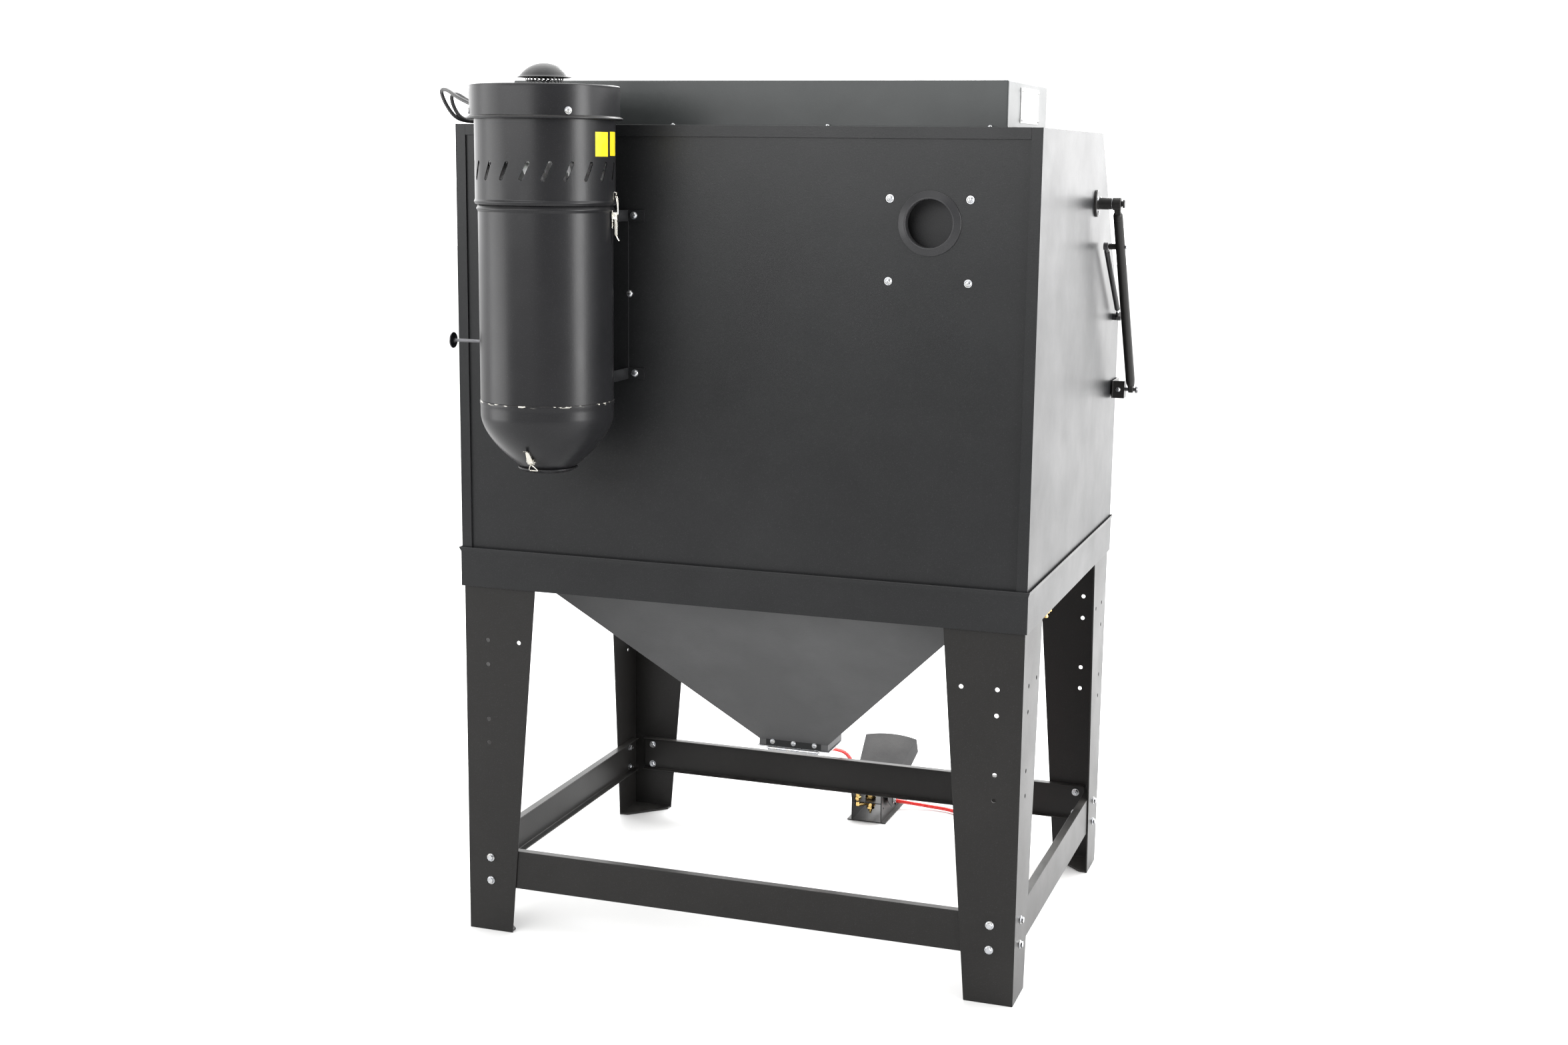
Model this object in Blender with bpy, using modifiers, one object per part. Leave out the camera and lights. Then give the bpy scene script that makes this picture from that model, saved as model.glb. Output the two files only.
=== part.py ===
"""Abrasive blasting cabinet with a dust collector, lift-up front lid and foot pedal.

Metres, +Z up. The operator stands at -Y and the dust collector is on the back, at +Y.
Left and right are the operator's: left is -X and right is +X. The floor is z = 0.
"""

import math

import bmesh
import bpy
from mathutils import Matrix, Vector

# ---- driving dimensions ----
GAP = 0.0003
SHEET = 0.002
HALF_W = 0.610
HALF_D = 0.465
FLOOR_OF_WALLS = 0.800
TOP_Z = 1.736
TOP_FRONT_Y = -0.170
KNEE_Y = -0.465
KNEE_Z = 1.310
POST = 0.022
HEM = 0.0042

LID_BOTTOM_Z = 1.130
HEADER = 0.024
LID_START = 0.030
PIVOT_Y = -0.1135
PIVOT_Z = 1.588
ARM_X = 0.655
ARM_LENGTH = 0.520
ARM_RADIUS = 0.0105
LUG_ALONG_ARM = 0.113
STUD_Y = -0.385
STUD_Z = 1.328
STRUT_X = 0.624

RIM_BOTTOM = 0.770
RIM_TOP = 0.855
RIM_FLARE = 0.010
RIM_LIP = 0.004

HOPPER_FLANGE_Z = 0.902
HOPPER_TOP_Z = 0.885
HOPPER_HALF_X = 0.598
HOPPER_HALF_Y = 0.450
OUTLET_HALF_X = 0.080
OUTLET_HALF_Y = 0.050
OUTLET_TOP_Z = 0.376
OUTLET_Z = 0.360

LEG_X = 0.6077
LEG_Y = 0.4605
LEG_TOP = 0.836
LEG_SHEET = 0.003
LEG_FOOT_WIDTH = 0.102
LEG_TOP_WIDTH = 0.1695
LEG_HOLE = 0.0048
LEG_HOLE_INSET = 0.052
LEG_HOLE_HEIGHTS = (0.6535, 0.6005, 0.479, 0.427)
BRACE_BOTTOM = 0.102
BRACE_TOP = 0.187
BRACE_LIP = 0.018

GLOVE_X = 0.220
GLOVE_Z = 1.018
GLOVE_HOLE = 0.085

LIGHT_HALF_X = 0.5216
LIGHT_FRONT_Y = 0.0105
LIGHT_BACK_Y = 0.375
LIGHT_TOP_Z = 1.826

PORT_X = -0.3955
PORT_Z = 1.555

DRUM_X = 0.3353
DRUM_Y = 0.6156
DRUM_R = 0.131
HEAD_R = 0.136
CAP_R = 0.145
CAP_FLANGE_R = 0.151
CONE_BOTTOM_Z = 1.0665
CONE_TOP_Z = 1.200
HEAD_BOTTOM_Z = 1.580
CAP_BOTTOM_Z = 1.7413
CAP_TOP_Z = 1.8063
INLET_Z = 1.400
INLET_R = 0.040
SLOT_COUNT = 20
SHAKER_Z = 1.308

PEDAL_X = -0.006
PEDAL_BACK_Y = -0.530
PEDAL_FRONT_Y = -0.745
TREADLE_Y = -0.605
TREADLE_Z = 0.042
TREADLE_TILT = math.radians(23)
TREADLE_HEIGHT = 0.055
VALVE_Y = -0.5665
RISER_X = 0.020
RISER_Y = -0.5385

# ---- the front slope, as a unit vector down it and one out of it ----
SLOPE = Vector((0, KNEE_Y - TOP_FRONT_Y, KNEE_Z - TOP_Z))
SLOPE_LENGTH = SLOPE.length
DOWN_SLOPE = SLOPE.normalized()
OUT_OF_SLOPE = Vector((0, DOWN_SLOPE.z, -DOWN_SLOPE.y))
TOP_EDGE = Vector((0, TOP_FRONT_Y, TOP_Z))

COATING = (0.030, 0.031, 0.034)

part = None
cutters = None


# ---- scene, materials and small helpers ----
def clear_scene():
    for obj in list(bpy.data.objects):
        bpy.data.objects.remove(obj, do_unlink=True)


def material(name, color, roughness=0.5, metallic=0.0, alpha=1.0):
    found = bpy.data.materials.get(name)
    if found:
        return found
    made = bpy.data.materials.new(name)
    made.use_nodes = True
    shader = made.node_tree.nodes["Principled BSDF"]
    shader.inputs["Base Color"].default_value = (*color, 1.0)
    shader.inputs["Roughness"].default_value = roughness
    shader.inputs["Metallic"].default_value = metallic
    shader.inputs["Alpha"].default_value = alpha
    made.diffuse_color = (*color, alpha)
    return made


def coated(name):
    return material(name + "_coating", COATING, 0.42, 0.25)


def link(obj, collection):
    for old in list(obj.users_collection):
        old.objects.unlink(obj)
    collection.objects.link(obj)
    return obj


def finish(obj, name, paint, smooth_angle=30):
    """Name the object, give it its own material and shade it."""
    obj.name = name
    obj.data.name = name
    obj.data.materials.clear()
    obj.data.materials.append(paint)
    if obj.type == "MESH" and smooth_angle:
        obj.data.shade_smooth()
        obj.data.set_sharp_from_angle(angle=math.radians(smooth_angle))
    return link(obj, part)


def mesh_object(name, bm):
    bmesh.ops.recalc_face_normals(bm, faces=bm.faces)
    mesh = bpy.data.meshes.new(name)
    bm.to_mesh(mesh)
    bm.free()
    obj = bpy.data.objects.new(name, mesh)
    part.objects.link(obj)
    return obj


def box(name, low, high):
    low = Vector(low)
    high = Vector(high)
    bpy.ops.mesh.primitive_cube_add(size=1, location=(low + high) / 2)
    obj = bpy.context.object
    obj.scale = high - low
    bpy.ops.object.transform_apply(location=False, rotation=False, scale=True)
    obj.name = name
    return link(obj, part)


def cylinder(name, start, end, radius, sides=24):
    start = Vector(start)
    end = Vector(end)
    axis = end - start
    bpy.ops.mesh.primitive_cylinder_add(vertices=sides, radius=radius, depth=axis.length)
    obj = bpy.context.object
    obj.rotation_mode = "QUATERNION"
    obj.rotation_quaternion = axis.to_track_quat("Z", "Y")
    obj.location = (start + end) / 2
    obj.name = name
    return link(obj, part)


def turned(name, profile, steps=32, closed=False, axis="Z", at=(0, 0, 0)):
    """A Screw of the profile of (radius, height) points, down its outer side first."""
    bm = bmesh.new()
    verts = [bm.verts.new((radius, 0, height)) for radius, height in profile]
    for first, second in zip(verts, verts[1:]):
        bm.edges.new((first, second))
    if closed:
        bm.edges.new((verts[-1], verts[0]))
    mesh = bpy.data.meshes.new(name)
    bm.to_mesh(mesh)
    bm.free()
    obj = bpy.data.objects.new(name, mesh)
    part.objects.link(obj)
    screw = obj.modifiers.new("Turn", "SCREW")
    screw.axis = "Z"
    screw.angle = math.tau
    screw.steps = steps
    screw.render_steps = steps
    screw.use_merge_vertices = True
    screw.merge_threshold = 0.00005
    if axis == "X":
        obj.rotation_euler = (0, math.radians(90), 0)
    if axis == "-X":
        obj.rotation_euler = (0, math.radians(-90), 0)
    if axis == "Y":
        obj.rotation_euler = (math.radians(-90), 0, 0)
    obj.location = at
    return obj


def circle(u, v, radius, count=16):
    return [
        (u + radius * math.cos(math.tau * step / count), v + radius * math.sin(math.tau * step / count))
        for step in range(count)
    ]


def rectangle(u0, v0, u1, v1):
    return [(u0, v0), (u1, v0), (u1, v1), (u0, v1)]


def plate(name, outlines, thickness, origin, u_axis, v_axis):
    """A flat plate from its outer outline and holes, its thickness running along u x v."""
    curve = bpy.data.curves.new(name, "CURVE")
    curve.dimensions = "2D"
    curve.fill_mode = "BOTH"
    curve.extrude = thickness / 2
    for outline in outlines:
        spline = curve.splines.new("POLY")
        spline.points.add(len(outline) - 1)
        for point, (u, v) in zip(spline.points, outline):
            point.co = (u, v, 0, 1)
        spline.use_cyclic_u = True
    flat = bpy.data.objects.new(name, curve)
    part.objects.link(flat)
    bpy.context.view_layer.update()
    evaluated = flat.evaluated_get(bpy.context.evaluated_depsgraph_get())
    mesh = bpy.data.meshes.new_from_object(evaluated)
    bpy.data.objects.remove(flat, do_unlink=True)
    bm = bmesh.new()
    bm.from_mesh(mesh)
    bmesh.ops.remove_doubles(bm, verts=bm.verts, dist=0.00001)
    u_axis = Vector(u_axis).normalized()
    v_axis = Vector(v_axis).normalized()
    normal = u_axis.cross(v_axis)
    turn = Matrix((u_axis, v_axis, normal)).transposed().to_4x4()
    place = Matrix.Translation(Vector(origin) + normal * thickness / 2) @ turn
    bmesh.ops.transform(bm, matrix=place, verts=bm.verts)
    bpy.data.meshes.remove(mesh)
    return mesh_object(name, bm)


def tube(name, points, radius, sides=2):
    """A cord or bent wire along its points."""
    curve = bpy.data.curves.new(name, "CURVE")
    curve.dimensions = "3D"
    curve.bevel_depth = radius
    curve.bevel_resolution = sides
    curve.use_fill_caps = True
    spline = curve.splines.new("POLY")
    spline.points.add(len(points) - 1)
    for point, place in zip(spline.points, points):
        point.co = (*place, 1)
    obj = bpy.data.objects.new(name, curve)
    part.objects.link(obj)
    return obj


def as_mesh(obj):
    """The object as a plain mesh with its modifiers applied and its seams merged."""
    bpy.context.view_layer.update()
    evaluated = obj.evaluated_get(bpy.context.evaluated_depsgraph_get())
    mesh = bpy.data.meshes.new_from_object(evaluated)
    bm = bmesh.new()
    bm.from_mesh(mesh)
    bmesh.ops.transform(bm, matrix=obj.matrix_world, verts=bm.verts)
    bmesh.ops.remove_doubles(bm, verts=bm.verts, dist=0.000001)
    name = obj.name
    bpy.data.objects.remove(obj, do_unlink=True)
    bpy.data.meshes.remove(mesh)
    return mesh_object(name, bm)


def combine(target, tool, operation):
    """Add a Boolean to the target, with the tool kept among the cutters."""
    boolean = target.modifiers.new(operation.title(), "BOOLEAN")
    boolean.operation = operation
    boolean.solver = "EXACT"
    boolean.object = tool
    tool.hide_render = True
    tool.display_type = "WIRE"
    link(tool, cutters)
    return target


def join_all(target, *tools):
    for tool in tools:
        combine(target, tool, "UNION")
    return target


def cut_all(target, *tools):
    for tool in tools:
        combine(target, tool, "DIFFERENCE")
    return target


def rounded(obj, width, segments=2):
    bevel = obj.modifiers.new("Rounded edges", "BEVEL")
    bevel.width = width
    bevel.segments = segments
    bevel.limit_method = "ANGLE"
    bevel.angle_limit = math.radians(40)
    return obj


def ring_shell(name, rings, thickness, offset):
    """A sheet shell through rectangular rings of (z, half x, half y), open at both ends."""
    bm = bmesh.new()
    loops = []
    for z, half_x, half_y in rings:
        corners = ((half_x, half_y), (-half_x, half_y), (-half_x, -half_y), (half_x, -half_y))
        loops.append([bm.verts.new((x, y, z)) for x, y in corners])
    for upper, lower in zip(loops, loops[1:]):
        for side in range(4):
            following = (side + 1) % 4
            bm.faces.new((upper[side], upper[following], lower[following], lower[side]))
    obj = mesh_object(name, bm)
    solid = obj.modifiers.new("Sheet", "SOLIDIFY")
    solid.thickness = thickness
    solid.offset = offset
    solid.use_even_offset = True
    return obj


def with_origin(obj, place):
    """Move the object's origin to a joint's axis, leaving its shape where it is."""
    place = Vector(place)
    moved = obj.matrix_world.inverted() @ place
    obj.data.transform(Matrix.Translation(-moved))
    obj.location = place
    return obj


# ---- cabinet shell ----
def side_outline():
    """The side's outline in (y, z)."""
    return [
        (-HALF_D, FLOOR_OF_WALLS),
        (HALF_D, FLOOR_OF_WALLS),
        (HALF_D, TOP_Z),
        (TOP_FRONT_Y, TOP_Z),
        (KNEE_Y, KNEE_Z),
    ]


def add_side_panel(name, side):
    inner = HALF_W - SHEET
    start = inner if side > 0 else -HALF_W
    panel = plate(name, [side_outline()], SHEET, (start, 0, 0), (0, 1, 0), (0, 0, 1))
    reach = sorted((side * (HALF_W - POST), side * (inner + 0.001)))
    post = box(
        name + "_post",
        (reach[0], HALF_D - HEM, FLOOR_OF_WALLS + GAP),
        (reach[1], HALF_D - GAP / 2, TOP_Z - GAP),
    )
    base = cylinder(
        name + "_stud_base",
        (side * (HALF_W - 0.001), STUD_Y, STUD_Z),
        (side * 0.6185, STUD_Y, STUD_Z),
        0.008,
        16,
    )
    pin = cylinder(
        name + "_stud_pin", (side * 0.617, STUD_Y, STUD_Z), (side * 0.632, STUD_Y, STUD_Z), 0.004, 16
    )
    join_all(panel, post, base, pin)
    return finish(panel, name, coated(name))


def add_top_panel():
    half = HALF_W - SHEET - GAP
    window = rectangle(-0.450, 0.060, 0.450, 0.330)
    top = plate(
        "top_panel",
        [rectangle(-half, TOP_FRONT_Y, half, HALF_D), window],
        SHEET,
        (0, 0, TOP_Z - SHEET),
        (1, 0, 0),
        (0, 1, 0),
    )
    lip_half = HALF_W - POST - GAP
    back_lip = box(
        "top_back_lip", (-lip_half, HALF_D - HEM, TOP_Z - POST), (lip_half, HALF_D, TOP_Z - SHEET / 2)
    )
    header = plate(
        "top_front_header",
        [rectangle(-half, 0, half, HEADER)],
        SHEET,
        TOP_EDGE,
        (1, 0, 0),
        DOWN_SLOPE,
    )
    cut_back = box(
        "top_corner_cut", (-lip_half - POST, HALF_D - HEM - GAP, 1.70), (-lip_half, HALF_D + 0.01, 1.75)
    )
    cut_front = box(
        "top_corner_cut_2", (lip_half, HALF_D - HEM - GAP, 1.70), (lip_half + POST, HALF_D + 0.01, 1.75)
    )
    join_all(top, back_lip, header)
    cut_all(top, cut_back, cut_front)
    return finish(top, "top_panel", coated("top_panel"))


def add_back_panel():
    half = HALF_W - SHEET - GAP
    outlines = [
        rectangle(-half, 0.840, half, TOP_Z - SHEET - GAP),
        circle(PORT_X, PORT_Z, 0.048, 32),
        circle(DRUM_X, INLET_Z, INLET_R, 24),
    ]
    face_y = HALF_D - HEM - GAP
    panel = plate("back_panel", outlines, SHEET, (0, face_y, 0), (1, 0, 0), (0, 0, 1))
    return finish(panel, "back_panel", coated("back_panel"))


def add_front_panel():
    half = HALF_W - SHEET - GAP
    outlines = [rectangle(-half, FLOOR_OF_WALLS, half, LID_BOTTOM_Z - GAP)]
    for side in (-1, 1):
        outlines.append(circle(side * GLOVE_X, GLOVE_Z, GLOVE_HOLE, 32))
    panel = plate("front_panel", outlines, SHEET, (0, -HALF_D + SHEET, 0), (1, 0, 0), (0, 0, 1))
    shelf = box(
        "front_panel_shelf",
        (-half, -HALF_D + 0.001, LID_BOTTOM_Z - GAP - SHEET),
        (half, -HALF_D + 0.024, LID_BOTTOM_Z - GAP),
    )
    join_all(panel, shelf)
    return finish(panel, "front_panel", coated("front_panel"))


def add_base_rim():
    half_x = HALF_W + GAP
    half_y = HALF_D + GAP
    rings = [
        (RIM_TOP, half_x + RIM_LIP, half_y + RIM_LIP),
        (RIM_TOP - RIM_FLARE, half_x, half_y),
        (RIM_BOTTOM, half_x, half_y),
    ]
    rim = ring_shell("base_rim", rings, SHEET, 1.0)
    return finish(rim, "base_rim", coated("base_rim"))


def add_hopper():
    rings = [
        (HOPPER_FLANGE_Z, HALF_W - SHEET - 0.0008, 0.4565),
        (HOPPER_FLANGE_Z, HOPPER_HALF_X, HOPPER_HALF_Y),
        (HOPPER_TOP_Z, HOPPER_HALF_X, HOPPER_HALF_Y),
        (OUTLET_TOP_Z, OUTLET_HALF_X, OUTLET_HALF_Y),
        (OUTLET_Z, OUTLET_HALF_X, OUTLET_HALF_Y),
    ]
    hopper = ring_shell("hopper", rings, SHEET, -1.0)
    front_boss = cylinder("hopper_front_boss", (0.045, -0.215, 0.620), (0.045, -0.275, 0.620), 0.011, 16)
    left_boss = cylinder("hopper_left_boss", (-0.315, -0.020, 0.640), (-0.370, -0.020, 0.640), 0.011, 16)
    join_all(hopper, front_boss, left_boss)
    return finish(hopper, "hopper", coated("hopper"))


def add_trap_door():
    top = OUTLET_Z - GAP
    hinge = (0, OUTLET_HALF_Y + 0.004, OUTLET_Z - 0.005)
    door = box("trap_door", (-0.086, -0.062, top - 0.0025), (0.086, OUTLET_HALF_Y + 0.004, top))
    knuckle = cylinder(
        "trap_door_knuckle", (-0.060, hinge[1], hinge[2]), (0.060, hinge[1], hinge[2]), 0.0042, 16
    )
    tab = box("trap_door_tab", (-0.015, -0.085, top - 0.0025), (0.015, -0.061, top))
    join_all(door, knuckle, tab)
    finish(door, "trap_door", material("zinc_plate", (0.62, 0.63, 0.64), 0.35, 0.9))
    return with_origin(door, hinge)


def add_work_grate():
    """The slotted floor that the workpiece stands on."""
    half_x = 0.590
    half_y = 0.440
    slots = 5
    pitch = 2 * half_y / slots
    outlines = [rectangle(-half_x, -half_y, half_x, half_y)]
    for slot in range(slots):
        middle = -half_y + pitch * (slot + 0.5)
        outlines.append(rectangle(-half_x + 0.03, middle - 0.066, half_x - 0.03, middle + 0.066))
    grate = plate("work_grate", outlines, 0.004, (0, 0, HOPPER_FLANGE_Z + GAP), (1, 0, 0), (0, 1, 0))
    return finish(grate, "work_grate", material("grate_steel", (0.30, 0.30, 0.31), 0.55, 0.8))


def add_port_collar():
    """The round air port on the back, a flanged ring in its hole."""
    face_y = HALF_D - HEM
    profile = [
        (0.0620, 0.0030),
        (0.0620, 0.0000),
        (0.0475, 0.0000),
        (0.0475, -0.0120),
        (0.0455, -0.0120),
        (0.0455, 0.0080),
        (0.0475, 0.0080),
        (0.0475, 0.0030),
    ]
    profile = [profile[7], *profile[:7]]
    collar = turned("port_collar", profile, 32, closed=True, axis="Y", at=(PORT_X, face_y, PORT_Z))
    return finish(collar, "port_collar", coated("port_collar"))


# ---- light ----
def add_light_box():
    low = TOP_Z + GAP
    outer = box(
        "light_box", (-LIGHT_HALF_X, LIGHT_FRONT_Y, low), (LIGHT_HALF_X, LIGHT_BACK_Y, LIGHT_TOP_Z)
    )
    flange = box(
        "light_box_flange",
        (-LIGHT_HALF_X - 0.004, LIGHT_FRONT_Y - 0.014, low),
        (LIGHT_HALF_X + 0.004, LIGHT_BACK_Y + 0.014, low + SHEET),
    )
    hollow = box(
        "light_box_hollow",
        (-LIGHT_HALF_X + SHEET, LIGHT_FRONT_Y + SHEET, low - 0.01),
        (LIGHT_HALF_X - SHEET, LIGHT_BACK_Y - SHEET, LIGHT_TOP_Z - SHEET),
    )
    rounded(outer, 0.003)
    join_all(outer, flange)
    cut_all(outer, hollow)
    for middle in (0.230, 0.290):
        hole = box(
            "rocker_hole",
            (LIGHT_HALF_X - 0.01, middle - 0.0105, 1.7725),
            (LIGHT_HALF_X + 0.01, middle + 0.0105, 1.7975),
        )
        cut_all(outer, hole)
    return finish(outer, "light_box", coated("light_box"))


def add_light_parts():
    window = box(
        "light_window", (-0.470, 0.045, TOP_Z + GAP), (0.470, 0.345, TOP_Z + GAP + 0.004)
    )
    finish(window, "light_window", material("window_glass", (0.75, 0.85, 0.88), 0.05, 0.0, 0.35))
    lamp = cylinder("light_tube", (-0.450, 0.193, 1.785), (0.450, 0.193, 1.785), 0.013, 16)
    finish(lamp, "light_tube", material("lamp_glass", (0.93, 0.94, 0.92), 0.3))


def add_rockers():
    for name, middle in (("rocker_switch_light", 0.230), ("rocker_switch_dust", 0.290)):
        centre = Vector((LIGHT_HALF_X - SHEET / 2, middle, 1.785))
        rocker = box(name, centre - Vector((0.005, 0.009, 0.011)), centre + Vector((0.005, 0.009, 0.011)))
        rounded(rocker, 0.0015, 1)
        finish(rocker, name, material(name + "_plastic", (0.02, 0.02, 0.02), 0.35))


# ---- front lid ----
def add_front_lid():
    """The folded sheet lid: slope, apron, ledges and side flanges, with the window cut out."""
    half = HALF_W - SHEET - 0.0010
    depth = 0.024
    top = TOP_EDGE + DOWN_SLOPE * LID_START
    top_in = top - OUT_OF_SLOPE * depth
    back_y = KNEE_Y + depth
    knee_in = top_in + DOWN_SLOPE * (back_y - top_in.y) / DOWN_SLOPE.y
    outer = [top, Vector((0, KNEE_Y, KNEE_Z)), Vector((0, KNEE_Y, LID_BOTTOM_Z))]
    inner = [top_in, knee_in, Vector((0, back_y, LID_BOTTOM_Z))]
    section = [inner[0], *outer, inner[-1]]
    bm = bmesh.new()
    ends = []
    for x in (half, -half):
        ends.append([bm.verts.new((x, point.y, point.z)) for point in (*section, inner[1])])
    right, left = ends
    for step in range(4):
        bm.faces.new((right[step], right[step + 1], left[step + 1], left[step]))
    for end in ends:
        for corners in ((0, 1, 2, 5), (5, 2, 3, 4)):
            bm.faces.new([end[corner] for corner in corners])
    lid = mesh_object("front_lid", bm)
    sheet = lid.modifiers.new("Sheet", "SOLIDIFY")
    sheet.thickness = SHEET
    sheet.offset = -1.0
    sheet.use_even_offset = True
    window = plate(
        "lid_window",
        [rectangle(-0.330, 0.085, 0.330, 0.400)],
        0.040,
        top + OUT_OF_SLOPE * 0.020,
        (1, 0, 0),
        DOWN_SLOPE,
    )
    cut_all(lid, window)
    lid = as_mesh(lid)
    finish(lid, "front_lid", coated("front_lid"))
    return with_origin(lid, (0, PIVOT_Y, PIVOT_Z))


def add_lid_glass():
    start = TOP_EDGE + DOWN_SLOPE * (LID_START + 0.068) - OUT_OF_SLOPE * (SHEET + GAP)
    glass = plate("lid_glass", [rectangle(-0.350, 0, 0.350, 0.350)], 0.004, start, (1, 0, 0), DOWN_SLOPE)
    finish(glass, "lid_glass", material("lid_window_glass", (0.75, 0.85, 0.88), 0.05, 0.0, 0.35))
    return with_origin(glass, (0, PIVOT_Y, PIVOT_Z))


def add_lid_handle():
    front = -HALF_D - GAP
    radius = 0.0065
    bend = 0.012
    half = 0.090
    points = [(-half, front, 1.200)]
    for side in (-1, 1):
        steps = range(0, 5) if side < 0 else range(4, -1, -1)
        for step in steps:
            angle = math.radians(90) * step / 4
            along = bend * (1 - math.cos(angle))
            out = bend * math.sin(angle)
            points.append((side * (half - along), front - 0.030 - out, 1.200))
    points.append((half, front, 1.200))
    handle = as_mesh(tube("lid_handle", points, radius, 3))
    finish(handle, "lid_handle", material("handle_black", (0.02, 0.02, 0.022), 0.4))
    return with_origin(handle, (0, PIVOT_Y, PIVOT_Z))


def arm_point(along, x):
    return Vector((x, PIVOT_Y, PIVOT_Z)) + DOWN_SLOPE * along


def add_lift_arm(name, side):
    """The arm with its eye, strut lug and the bracket that takes the lid's lower corner."""
    x = side * ARM_X
    foot = arm_point(ARM_LENGTH, x)
    arm = cylinder(name, arm_point(0.008, x), arm_point(ARM_LENGTH + 0.012, x), ARM_RADIUS, 20)
    eye = cylinder(name + "_eye", (side * 0.6450, PIVOT_Y, PIVOT_Z), (side * 0.6662, PIVOT_Y, PIVOT_Z), 0.0135, 20)
    bore = cylinder(name + "_bore", (side * 0.630, PIVOT_Y, PIVOT_Z), (side * 0.680, PIVOT_Y, PIVOT_Z), 0.0064, 20)
    lug = cylinder(name + "_lug", arm_point(LUG_ALONG_ARM, side * 0.6310), arm_point(LUG_ALONG_ARM, x), 0.0060, 16)
    spacer = cylinder(name + "_spacer", (side * 0.6150, foot.y, foot.z), (side * 0.6700, foot.y, foot.z), 0.0075, 16)
    low = foot.z - 0.020
    high = foot.z + 0.020
    face = -HALF_D - GAP
    angle_iron = [
        (side * 0.5750, face - 0.003),
        (side * 0.6165, face - 0.003),
        (side * 0.6165, foot.y + 0.024),
        (side * 0.6135, foot.y + 0.024),
        (side * 0.6135, face),
        (side * 0.5750, face),
    ]
    bracket = plate(name + "_bracket", [angle_iron], high - low, (0, 0, low), (1, 0, 0), (0, 1, 0))
    join_all(arm, eye, lug, spacer, bracket)
    cut_all(arm, bore)
    arm = as_mesh(arm)
    finish(arm, name, coated(name))
    return with_origin(arm, (0, PIVOT_Y, PIVOT_Z))


def add_pivot_flange(name, side):
    """The bolted flange, boss and headed pin that an arm turns on."""
    profile = [
        (0.0000, 0.0720 - 0.0100),
        (0.0095, 0.0720 - 0.0100),
        (0.0095, 0.0670 - 0.0100),
        (0.0060, 0.0670 - 0.0100),
        (0.0060, 0.0339),
        (0.0125, 0.0339),
        (0.0125, 0.0050),
        (0.0270, 0.0050),
        (0.0285, 0.0035),
        (0.0285, 0.0000),
        (0.0000, 0.0000),
    ]
    flange = turned(
        name,
        profile,
        24,
        axis="X" if side > 0 else "-X",
        at=(side * (HALF_W + GAP), PIVOT_Y, PIVOT_Z),
    )
    return finish(flange, name, coated(name))


def add_strut(side, word):
    """The gas strut: its rod turns on the side's stud and its barrel slides on the rod."""
    stud = Vector((side * STRUT_X, STUD_Y, STUD_Z))
    lug = arm_point(LUG_ALONG_ARM, side * STRUT_X)
    along = (lug - stud).normalized()
    rod = cylinder("strut_rod_" + word, stud + along * 0.006, lug - along * 0.060, 0.0030, 16)
    rod_eye = cylinder(
        "strut_rod_eye", (side * 0.6190, STUD_Y, STUD_Z), (side * 0.6290, STUD_Y, STUD_Z), 0.0085, 16
    )
    rod_bore = cylinder(
        "strut_rod_bore", (side * 0.610, STUD_Y, STUD_Z), (side * 0.640, STUD_Y, STUD_Z), 0.0043, 16
    )
    join_all(rod, rod_eye)
    cut_all(rod, rod_bore)
    rod = as_mesh(rod)
    finish(rod, "strut_rod_" + word, material("strut_chrome", (0.75, 0.75, 0.76), 0.15, 1.0))
    with_origin(rod, stud)
    barrel = cylinder("strut_barrel_" + word, stud + along * 0.030, lug - along * 0.008, 0.0062, 16)
    eye = cylinder("strut_barrel_eye", (side * 0.6185, lug.y, lug.z), (side * 0.6300, lug.y, lug.z), 0.0085, 16)
    bore = cylinder("strut_barrel_bore", stud + along * 0.010, lug - along * 0.055, 0.0033, 16)
    join_all(barrel, eye)
    cut_all(barrel, bore)
    barrel = as_mesh(barrel)
    finish(barrel, "strut_barrel_" + word, coated("strut_barrel_" + word))
    return with_origin(barrel, lug)


# ---- gloves and gun ----
def add_glove(side, word):
    """A flanged collar in the front panel and the glove clamped on its inner end."""
    at = (side * GLOVE_X, -HALF_D, GLOVE_Z)
    collar_profile = [
        (0.0845, 0.0400),
        (0.0845, -0.0003),
        (0.1000, -0.0003),
        (0.1020, -0.0023),
        (0.1020, -0.0050),
        (0.0810, -0.0050),
        (0.0810, 0.0400),
    ]
    collar = turned("glove_collar_" + word, collar_profile, 24, closed=True, axis="Y", at=at)
    finish(collar, "glove_collar_" + word, material("collar_plastic", (0.03, 0.03, 0.03), 0.5))
    glove_profile = [
        (0.0000, 0.3850),
        (0.0250, 0.3800),
        (0.0420, 0.3550),
        (0.0460, 0.3000),
        (0.0500, 0.2200),
        (0.0620, 0.1300),
        (0.0800, 0.0700),
        (0.0886, 0.0420),
        (0.0886, 0.0120),
        (0.0864, 0.0120),
        (0.0864, 0.0420),
        (0.0775, 0.0700),
        (0.0590, 0.1300),
        (0.0470, 0.2200),
        (0.0430, 0.3000),
        (0.0390, 0.3530),
        (0.0230, 0.3770),
        (0.0000, 0.3820),
    ]
    glove = turned("glove_" + word, glove_profile, 24, axis="Y", at=at)
    finish(glove, "glove_" + word, material("glove_rubber", (0.025, 0.025, 0.027), 0.7), 60)


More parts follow.
